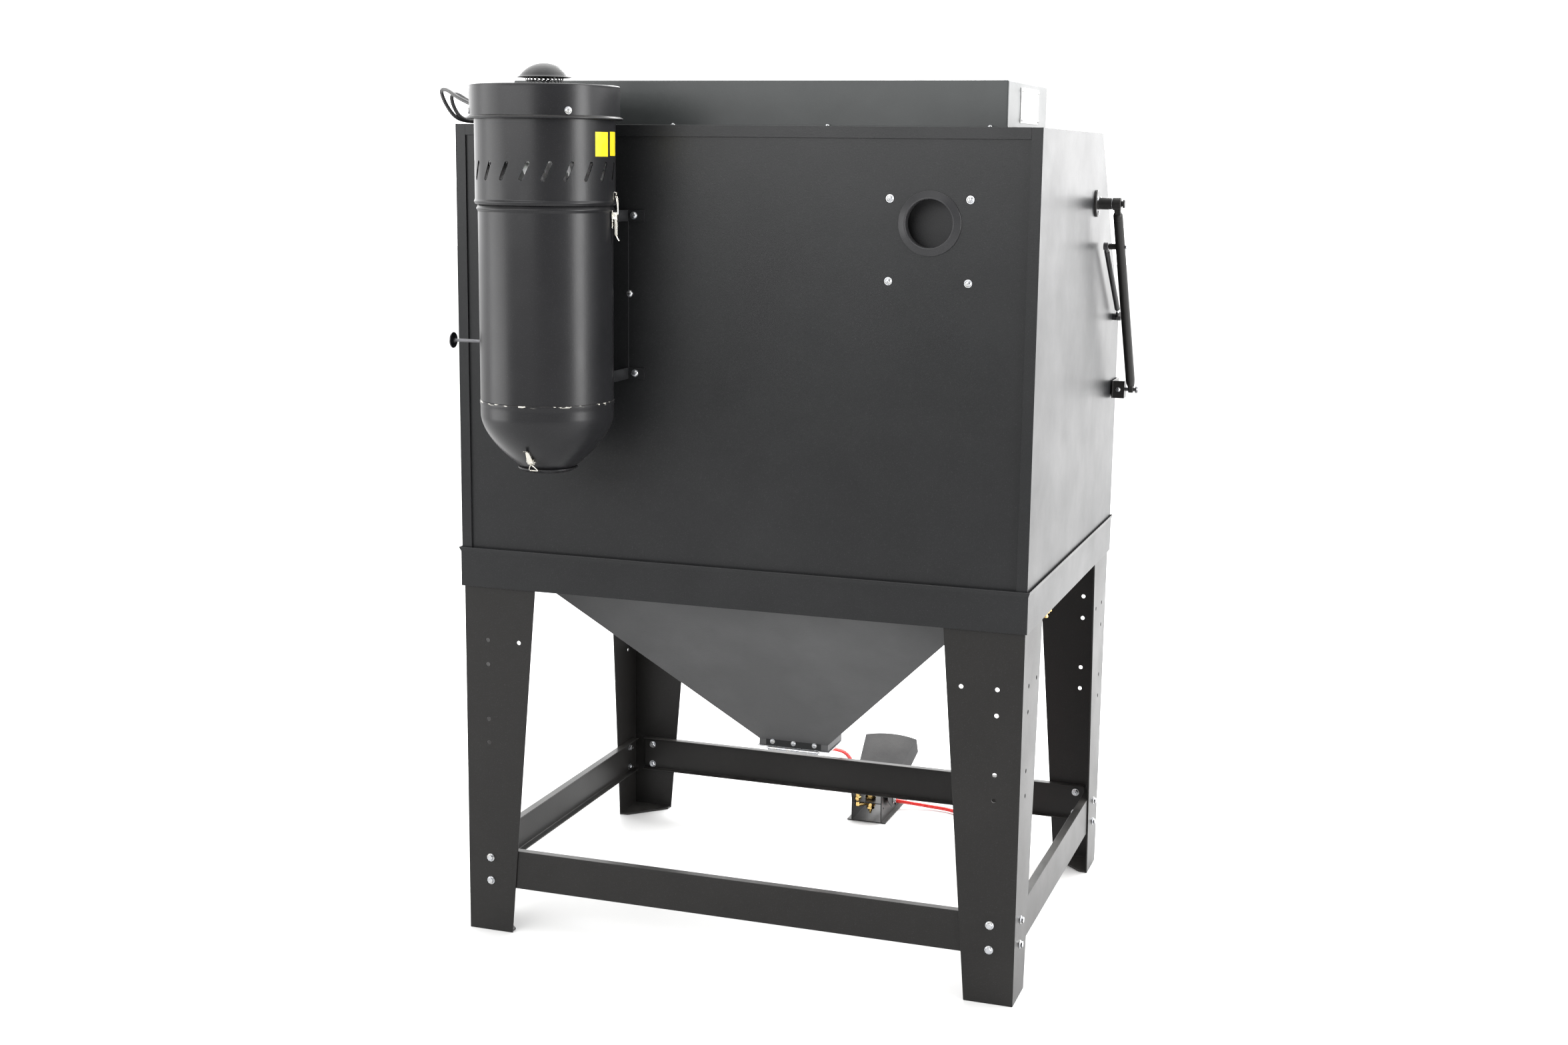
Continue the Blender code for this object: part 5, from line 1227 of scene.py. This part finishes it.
def add_arm(word, side):
    name = "lift_arm_" + word
    x = side * ARM_X
    start = arm_at(0.024, x)
    reach = ARM_LENGTH - 0.024 - 0.012
    arm = turned(
        name + "_tube",
        [
            (0.0, 0.0), (0.0072, 0.0004), (0.0094, 0.0024), (0.0105, 0.0062), (0.0105, 0.015),
            (0.01, 0.0156), (0.0105, 0.0164), (0.0105, reach - 0.02), (0.0098, reach - 0.008),
            (0.008, reach), (0.0, reach),
        ],
        start, COAT_LEG, SLOPE, 48, "lid",
    )
    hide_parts(name)
    bm = bmesh.new()
    across = Vector((1, 0, 0))
    place = framed(across, SLOPE.cross(across).normalized(), SLOPE, Vector((x, PIVOT.y, PIVOT.z)))
    block(bm, (-0.007, -0.0062, 0.01), (0.007, 0.0062, 0.03))
    block(bm, (-0.0058, -0.009, ARM_LENGTH - 0.026), (0.0058, 0.009, ARM_LENGTH + 0.004))
    bmesh.ops.transform(bm, matrix=place, verts=bm.verts)
    soften(from_bmesh(name + "_ends", bm, COAT_LEG, "lid"), 0.0022, 3)
    turned(
        name + "_eye",
        [
            (0.0066, -0.0092), (0.0126, -0.0092), (0.0136, -0.0082), (0.0136, 0.0082), (0.0126, 0.0092),
            (0.0066, 0.0092),
        ],
        (x, PIVOT.y, PIVOT.z), COAT_LEG, (1, 0, 0), 56, "lid", closed=True,
    )
    lug = arm_at(LUG_AT, 0)
    turned(
        name + "_lug",
        [
            (0.0, 0.0), (0.0062, 0.0), (0.0066, 0.0006), (0.0066, 0.018), (0.0078, 0.02), (0.0078, 0.03),
            (0.0, 0.03),
        ],
        (side * 0.6306, lug.y, lug.z), COAT_LEG, (side, 0, 0), 32, "lid",
    )
    bm = bmesh.new()
    hexagon(bm, (side * 0.6655, lug.y, lug.z), (side, 0, 0), 0.0085, 0.004)
    from_bmesh(name + "_lug_nut", bm, ZINC, "lid", smooth=25)
    foot = arm_at(ARM_LENGTH, 0)
    face = -0.4656
    bm = bmesh.new()
    low = foot.z - 0.02
    high = foot.z + 0.02
    for near_x, far_x, near_y, far_y in (
        (0.575, 0.6165, face - 0.003, face), (0.6135, 0.6165, face - 0.003, foot.y + 0.02),
        (0.614, 0.642, foot.y + 0.014, foot.y + 0.0168), (0.6395, 0.642, foot.y - 0.012, foot.y + 0.0168),
    ):
        block(bm, (side * near_x, near_y, low), (side * far_x, far_y, high))
    soften(from_bmesh(name + "_bracket", bm, COAT_LEG, "lid"), 0.0006)
    turned(
        name + "_foot_pin",
        [
            (0.0, -0.017), (0.0046, -0.017), (0.0046, 0.0098), (0.0082, 0.01), (0.0082, 0.0136),
            (0.0066, 0.0158), (0.0, 0.0158),
        ],
        (x, foot.y, foot.z), DARK_STEEL, (side, 0, 0), 36, "lid",
    )
    screws(
        name + "_bracket_screws",
        [
            ((side * 0.6285, foot.y + 0.0168, foot.z), (0, 1, 0)),
            ((side * 0.588, face - 0.003, foot.z + 0.01), (0, -1, 0)),
            ((side * 0.588, face - 0.003, foot.z - 0.01), (0, -1, 0)),
        ],
        "lid", radius=0.0046, height=0.0028,
    )


def add_pivot(word, side):
    name = "pivot_flange_" + word
    flange = turned(
        name + "_hub",
        [
            (0.0, 0.062), (0.0078, 0.062), (0.0092, 0.0606), (0.0092, 0.0574), (0.006, 0.0568),
            (0.006, 0.0342), (0.0116, 0.0342), (0.0126, 0.0332), (0.0126, 0.007), (0.0134, 0.0054),
            (0.0268, 0.0054), (0.0284, 0.0042), (0.0286, 0.0002), (0.0, 0.0002),
        ],
        (side * 0.6103, PIVOT.y, PIVOT.z), COAT_LEG, (side, 0, 0), 72,
    )
    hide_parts(name)
    spots = [polar(0.0198, angle) for angle in (30, 150, 270)]
    heads = [((side * 0.6157, PIVOT.y + y, PIVOT.z + z), (side, 0, 0)) for y, z in spots]
    screws(name + "_screws", heads, radius=0.004, height=0.0026)
    turned(
        name + "_washer", [(0.0066, 0.0346), (0.0118, 0.0346), (0.0118, 0.0354), (0.0066, 0.0354)],
        (side * 0.6103, PIVOT.y, PIVOT.z), ZINC, (side, 0, 0), 40, closed=True,
    )


def add_strut(word, letter, side):
    x = side * 0.624
    stud = Vector((x, STUD.y, STUD.z))
    lug = arm_at(LUG_AT, x)
    along = (lug - stud).normalized()
    span = (lug - stud).length
    rod_piece = turned(
        f"strut_{word}_rod", [(0.0, 0.006), (0.003, 0.006), (0.003, span - 0.06), (0.0, span - 0.06)], stud,
        CHROME, along, 32, f"strut_rod_{letter}",
    )
    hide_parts("strut_rod_" + word)
    rod_end = (stud, f"strut_rod_{letter}", "lower", along)
    barrel_end = (lug, f"strut_barrel_{letter}", "upper", -along)
    for place, body, name, toward in (rod_end, barrel_end):
        turned(
            f"strut_{word}_eye_{name}",
            [
                (0.0043, -0.0052), (0.0076, -0.0052), (0.0085, -0.0044), (0.0085, 0.0044), (0.0076, 0.0052),
                (0.0043, 0.0052),
            ],
            place, BLACK, (1, 0, 0), 40, body, closed=True,
        )
        turned(
            f"strut_{word}_neck_{name}",
            [
                (0.0, 0.007), (0.0052, 0.007), (0.0056, 0.008), (0.0056, 0.015), (0.0044, 0.0172),
                (0.0, 0.0172),
            ],
            place, BLACK, toward, 28, body,
        )
    barrel = turned(
        f"strut_{word}_barrel",
        [
            (0.0034, 0.03), (0.005, 0.03), (0.0058, 0.0308), (0.0062, 0.0324), (0.0062, 0.0352),
            (0.0057, 0.036), (0.0062, 0.0368), (0.0062, span - 0.019), (0.0056, span - 0.016),
            (0.0036, span - 0.015), (0.0034, span - 0.015),
        ],
        stud, BARREL, along, 40, f"strut_barrel_{letter}", closed=True,
    )
    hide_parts("strut_barrel_" + word)
    bm = bmesh.new()
    hexagon(bm, (side * 0.63, STUD.y, STUD.z), (side, 0, 0), 0.008, 0.0036)
    from_bmesh(f"strut_{word}_nut", bm, ZINC, smooth=25)


# ---- gloves and gun ----
def add_glove(word, side):
    at = Vector((side * 0.22, -0.465, 1.018))
    ring = turned(
        f"glove_{word}_ring",
        [
            (0.0812, 0.04), (0.0812, -0.004), (0.083, -0.005), (0.099, -0.005),
            *arc((0.1, -0.003), 0.002, -90, 0, 5), (0.102, -0.0006), (0.0845, -0.0003), (0.0845, 0.04),
        ],
        at, RING, (0, 1, 0), 112, closed=True,
    )
    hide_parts("glove_collar_" + word)
    spots = [polar(0.0925, angle) for angle in range(30, 390, 60)]
    heads = [(at + Vector((across, -0.005, up)), (0, -1, 0)) for across, up in spots]
    screws(f"glove_{word}_ring_screws", heads, radius=0.0038, height=0.0024)
    fingers = (
        (-0.03, 0.3, 0.004, -0.052, 0.372, -0.004, 0.0098),
        (-0.016, 0.318, 0.004, -0.022, 0.386, -0.01, 0.0102),
        (0.002, 0.322, 0.004, 0.002, 0.392, -0.012, 0.0104),
        (0.019, 0.316, 0.002, 0.024, 0.382, -0.014, 0.0098),
        (0.034, 0.3, 0.0, 0.043, 0.354, -0.014, 0.0088),
    )
    data = bpy.data.metaballs.new(f"glove_{word}_hand")
    data.resolution = 0.0045
    data.render_resolution = 0.0045
    data.threshold = 0.3
    hand = bpy.data.objects.new(f"glove_{word}_hand", data)
    bpy.context.scene.collection.objects.link(hand)

    def ball(x, y, z, radius):
        element = data.elements.new()
        element.co = (at.x + side * x, at.y + y, at.z + z)
        element.radius = radius

    for k in range(13):
        share = k / 12
        y = 0.205 + 0.105 * share
        wide = 0.02 + 0.01 * math.sin(math.pi * min(1.0, share * 1.1))
        for x in (-wide * 0.7, 0, wide * 0.7):
            ball(x, y, -0.003 * share, 0.033 - 0.006 * share)
    for *root, tip_x, tip_y, tip_z, radius in fingers:
        for k in range(11):
            t = k / 10
            x, y, z = Vector(root).lerp(Vector((tip_x, tip_y, tip_z)), t)
            ball(x, y - 0.01, z + 0.006 * math.sin(math.pi * t), radius * 1.75 * (1 - 0.16 * t))
    bpy.context.view_layer.update()
    graph = bpy.context.evaluated_depsgraph_get()
    mesh = bpy.data.meshes.new_from_object(hand.evaluated_get(graph))
    bpy.data.objects.remove(hand)
    hand = link(bpy.data.objects.new(f"glove_{word}_hand", mesh), GLOVE, "cabinet", 60)
    steps = 96
    bm = bmesh.new()
    rings = []
    stations = 60
    for k in range(stations + 1):
        t = k / stations
        y = 0.013 + 0.215 * t
        base = 0.0876 - 0.05 * (max(0.0, t - 0.13) / 0.87) ** 0.8
        fold = 0.0 if t < 0.16 else min(1.0, (t - 0.16) * 6)
        sag = -0.01 * max(0.0, t - 0.2) ** 1.5
        ring = []
        for step in range(steps):
            turn = 2 * math.pi * step / steps
            wave = 0.9 * math.sin(turn + side) + 0.5 * math.sin(3 * turn)
            ripple = 0.0022 * math.sin(k * 0.95 + wave) * fold
            pinch = 0.0014 * math.sin(5 * turn + k * 0.11) * fold
            radius = base + ripple + pinch
            spot = Vector((radius * math.cos(turn), y, radius * math.sin(turn) * (1 - 0.06 * t) + sag))
            ring.append(bm.verts.new(at + spot))
        rings.append(ring)
    skin(bm, rings)
    sleeve = from_bmesh(f"glove_{word}_sleeve", bm, GLOVE, smooth=70)
    wall = sleeve.modifiers.new("Wall", "SOLIDIFY")
    wall.thickness = 0.0013
    wall.offset = -1
    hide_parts("glove_" + word)
    turned(
        f"glove_{word}_clamp",
        [(0.088, 0.018), (0.089, 0.018), (0.0892, 0.0186), (0.0892, 0.0294), (0.089, 0.03), (0.088, 0.03)],
        at, ZINC, (0, 1, 0), 112, closed=True,
    )
    bm = bmesh.new()
    block(bm, (at.x - 0.011, at.y + 0.0165, at.z + 0.0885), (at.x + 0.011, at.y + 0.0315, at.z + 0.0975))
    rod(bm, at + Vector((0.0105, 0.024, 0.093)), at + Vector((0.0175, 0.024, 0.093)), 0.0042, 20)
    hexagon(bm, at + Vector((0.017, 0.024, 0.093)), (1, 0, 0), 0.008, 0.0034)
    soften(from_bmesh(f"glove_{word}_clamp_screw", bm, ZINC), 0.0008)


def add_gun():
    middle = Vector((0.0, 0.06, 0.927))
    gun = turned(
        "gun_body",
        [
            (0.0, -0.075), (0.012, -0.075), (0.015, -0.0735), (0.0158, -0.07),
            *[(0.0158 + 0.0009 * (k % 2), -0.068 + 0.003 * k) for k in range(9)], (0.0168, -0.039),
            (0.017, 0.042), (0.016, 0.052), (0.0128, 0.06), (0.0108, 0.064), (0.0108, 0.07),
            (0.0098, 0.071), (0.0098, 0.112), (0.0088, 0.115), (0.0048, 0.115), (0.0044, 0.08),
            (0.0, 0.079),
        ],
        middle, CAST, (1, 0, 0), 64,
    )
    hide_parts("blast_gun")
    grip_axis = Vector((-0.02, 0.085, 0)).normalized()
    turned(
        "gun_grip",
        [
            (0.0, 0.012), (0.012, 0.012), (0.0132, 0.018),
            *[(0.0137 + 0.0006 * math.sin(0.9 * k), 0.02 + 0.0026 * k) for k in range(20)], (0.014, 0.073),
            (0.0128, 0.078), (0.0118, 0.0786), (0.0118, 0.086), (0.0104, 0.088), (0.0086, 0.0885),
            (0.0, 0.0885),
        ],
        middle, BLACK, grip_axis, 48,
    )
    bm = bmesh.new()
    hexagon(bm, middle + Vector((0.056, 0, 0)), (1, 0, 0), 0.027, 0.011)
    from_bmesh("gun_nozzle_nut", bm, ZINC, smooth=25)
    start = Vector(GUN_HOSE[0])
    run = (Vector(GUN_HOSE[1]) - start).normalized()
    bm = bmesh.new()
    rod(bm, start + run * 0.002, start + run * 0.012, 0.0094, 32)
    lug = start + run * 0.007
    block(bm, lug + Vector((-0.004, -0.004, 0.0085)), lug + Vector((0.004, 0.004, 0.0145)))
    soften(from_bmesh("gun_hose_clamp", bm, ZINC), 0.0006)
    turned(
        "gun_hose_bulkhead",
        [
            (0.0086, -0.0008), (0.015, -0.0008), (0.015, 0.003), (0.0118, 0.0034), (0.0112, 0.012),
            (0.01, 0.015), (0.0086, 0.015),
        ],
        (-0.6074, 0.2, 1.04), BLACK, (1, 0, 0), 40, closed=True,
    )


# ---- foot pedal ----
RISER = (0.02, -0.5385)  # the upright pipe that the pedal hose stands on


def add_pedal():
    dressed("pedal_base", COAT_LEG, 0.0006)
    dressed("treadle", COAT_TREADLE, 0.0012, 3, body="pedal_plate")
    x = -0.006
    y = -0.5665
    valve = turned(
        "valve_body",
        [
            (0.0, 0.012), (0.0022, 0.0122), (0.0026, 0.017), (0.0044, 0.0176), (0.0048, 0.024),
            (0.0086, 0.0246), (0.009, 0.0256), (0.009, 0.042), (0.0094, 0.0428), (0.0094, 0.0532),
            (0.0124, 0.0536), (0.0126, 0.0546), (0.0126, 0.0626), (0.0118, 0.064), (0.0052, 0.064),
            (0.0052, 0.057), (0.0, 0.057),
        ],
        (x, y, 0), BRASS, steps=48,
    )
    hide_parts("pedal_valve")
    bm = bmesh.new()
    hexagon(bm, (x, y, 0.044), (0, 0, 1), 0.024, 0.0054)
    hexagon(bm, (x, y, 0.0252), (0, 0, 1), 0.0185, 0.006)
    hexagon(bm, (x, y, 0.053), (0, 0, 1), 0.024, 0.005)
    rod(bm, (x, y, 0.03), (x, y - 0.0245, 0.03), 0.006, 28)
    hexagon(bm, (x, y - 0.015, 0.03), (0, -1, 0), 0.014, 0.008)
    rod(bm, (x, y, 0.042), (*RISER, 0.042), 0.0065, 28)
    rod(bm, (*RISER, 0.039), (*RISER, 0.0806), 0.0062, 32)
    hexagon(bm, (*RISER, 0.056), (0, 0, 1), 0.015, 0.007)
    hexagon(bm, (*RISER, 0.069), (0, 0, 1), 0.0135, 0.009)
    from_bmesh("valve_fittings", bm, BRASS, smooth=25)
    turned(
        "riser_collet",
        [
            (0.0053, 0.08), (0.0086, 0.08), (0.0086, 0.0818), (0.0066, 0.0826), (0.0066, 0.085),
            (0.0055, 0.0856),
        ],
        (*RISER, 0), BLACK, steps=32, closed=True,
    )
    plunger = turned(
        "valve_button",
        [
            (0.0, 0.0818), (0.004, 0.0816), (0.0062, 0.0808), (0.007, 0.0796), (0.007, 0.0774),
            (0.0046, 0.076), (0.0042, 0.0752), (0.0042, 0.058), (0.0, 0.058),
        ],
        (x, y, 0), BRASS, steps=40, body="plunger",
    )
    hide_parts("valve_plunger")
    spring = []
    for k in range(6 * 16 + 1):
        turn = 2 * math.pi * k / 16
        spring.append((x + 0.0056 * math.cos(turn), y + 0.0056 * math.sin(turn), 0.0648 + 0.01 * k / 96))
    tube("valve_spring", spring, 0.0006, ZINC, sides=3)
    bm = bmesh.new()
    for side in (-1, 1):
        rod(bm, (x + side * 0.0506, -0.605, 0.042), (x + side * 0.0518, -0.605, 0.042), 0.009, 28)
        hexagon(bm, (x + side * 0.0516, -0.605, 0.042), (side, 0, 0), 0.012, 0.005)
    from_bmesh("pedal_pin_nuts", bm, ZINC, smooth=25)
    turned(
        "pedal_grommet",
        [
            (0.0056, -0.0016), (0.0098, -0.0016), (0.0104, -0.0006), (0.0084, -0.0002), (0.0084, 0.003),
            (0.0104, 0.0034), (0.0098, 0.0044), (0.0056, 0.0044),
        ],
        (-0.0462, -0.665, 0.0198), GASKET, (1, 0.15, 0), 32, closed=True,
    )


# ---- floor and light ----
def add_stage():
    bm = bmesh.new()
    steps = 24
    marks = [-30 + 60 * k / steps for k in range(steps + 1)]
    grid = [[bm.verts.new((x, y, -0.0005)) for x in marks] for y in marks]
    for low, high in zip(grid, grid[1:]):
        for k in range(steps):
            bm.faces.new((low[k], low[k + 1], high[k + 1], high[k]))
    floor = from_bmesh("studio_floor", bm, FLOOR, None)
    world = bpy.data.worlds.new("studio")
    bpy.context.scene.world = world
    world.use_nodes = True
    tree = world.node_tree
    background = tree.nodes["Background"]
    place = tree.nodes.new("ShaderNodeTexCoord")
    split = tree.nodes.new("ShaderNodeSeparateXYZ")
    tree.links.new(place.outputs["Generated"], split.inputs["Vector"])
    depth = tree.nodes.new("ShaderNodeMapRange")
    depth.interpolation_type = "SMOOTHSTEP"
    depth.inputs["From Min"].default_value = -0.35
    depth.inputs["From Max"].default_value = 0.75
    depth.inputs["To Min"].default_value = 3.2
    depth.inputs["To Max"].default_value = 0.15
    tree.links.new(split.outputs["Y"], depth.inputs["Value"])
    background.inputs["Color"].default_value = (1, 1, 1, 1)
    seen = tree.nodes.new("ShaderNodeLightPath")
    brighter = tree.nodes.new("ShaderNodeMath")
    brighter.operation = "MAXIMUM"
    tree.links.new(depth.outputs["Result"], brighter.inputs[0])
    tree.links.new(seen.outputs["Is Camera Ray"], brighter.inputs[1])
    tree.links.new(brighter.outputs["Value"], background.inputs["Strength"])


def add_area(name, at, toward, size, power):
    data = bpy.data.lights.new(name, "AREA")
    data.shape = "RECTANGLE"
    data.size, data.size_y = size
    data.energy = power
    lamp = bpy.data.objects.new(name, data)
    bpy.context.scene.collection.objects.link(lamp)
    lamp.location = at
    direction = Vector(toward) - Vector(at)
    lamp.rotation_mode = "QUATERNION"
    lamp.rotation_quaternion = direction.to_track_quat("-Z", "Y")


def add_lights():
    add_area("overhead", (0.2, 0.4, 4.6), (0, 0, 0.5), (5.0, 5.0), 120)
    add_area("behind", (-1.9, -6.0, 1.8), (-1.0, 0.0, 1.2), (4.0, 3.6), 76)
    add_area("floor_behind", (-1.2, -3.6, 3.4), (-1.2, -3.4, 0), (4.0, 3.0), 430)
    add_area("left_back", (-4.2, -2.2, 2.6), (-0.4, 0, 1.1), (2.5, 3.0), 120)
    add_area("right_front", (3.7, 2.2, 1.35), (0.3, 0.6, 1.3), (2.6, 2.4), 120)
    add_area("front_top", (0.5, 3.8, 3.4), (0, 0.2, 1.6), (3.0, 2.2), 50)
    add_area("front_sheen", (1.5, 4.3, 2.45), (0.2, 0.46, 1.75), (3.8, 1.5), 150)
    add_area("side_band", (-3.6, 1.1, 1.7), (0.335, 0.75, 1.35), (1.2, 2.4), 170)


def flatten_shading():
    """Large flat or cylindrical faces keep their own normals beside small rounded edges."""
    for piece in PIECES:
        if piece.type == "MESH" and piece.name in bpy.context.scene.objects:
            weighted = piece.modifiers.new("Normals", "WEIGHTED_NORMAL")
            weighted.mode = "FACE_AREA"
            weighted.weight = 80
            weighted.keep_sharp = True




add_sheet_metal()
add_frame_bolts()
add_hopper_details()
add_air_inlet()
add_port()
add_panel_screws()
add_light_parts()
add_rockers()
add_collector_shell()
add_cap()
add_reliefs()
add_vent()
add_cone()
add_latches()
add_fan_and_filter()
add_shaker()
add_labels()
add_lid()
for word, letter, side in (("left", "l", -1), ("right", "r", 1)):
    add_arm(word, side)
    add_pivot(word, side)
    add_strut(word, letter, side)
    add_glove(word, side)
add_gun()
add_pedal()
add_stage()
add_lights()
flatten_shading()
bpy.context.scene.view_settings.view_transform = "Standard"
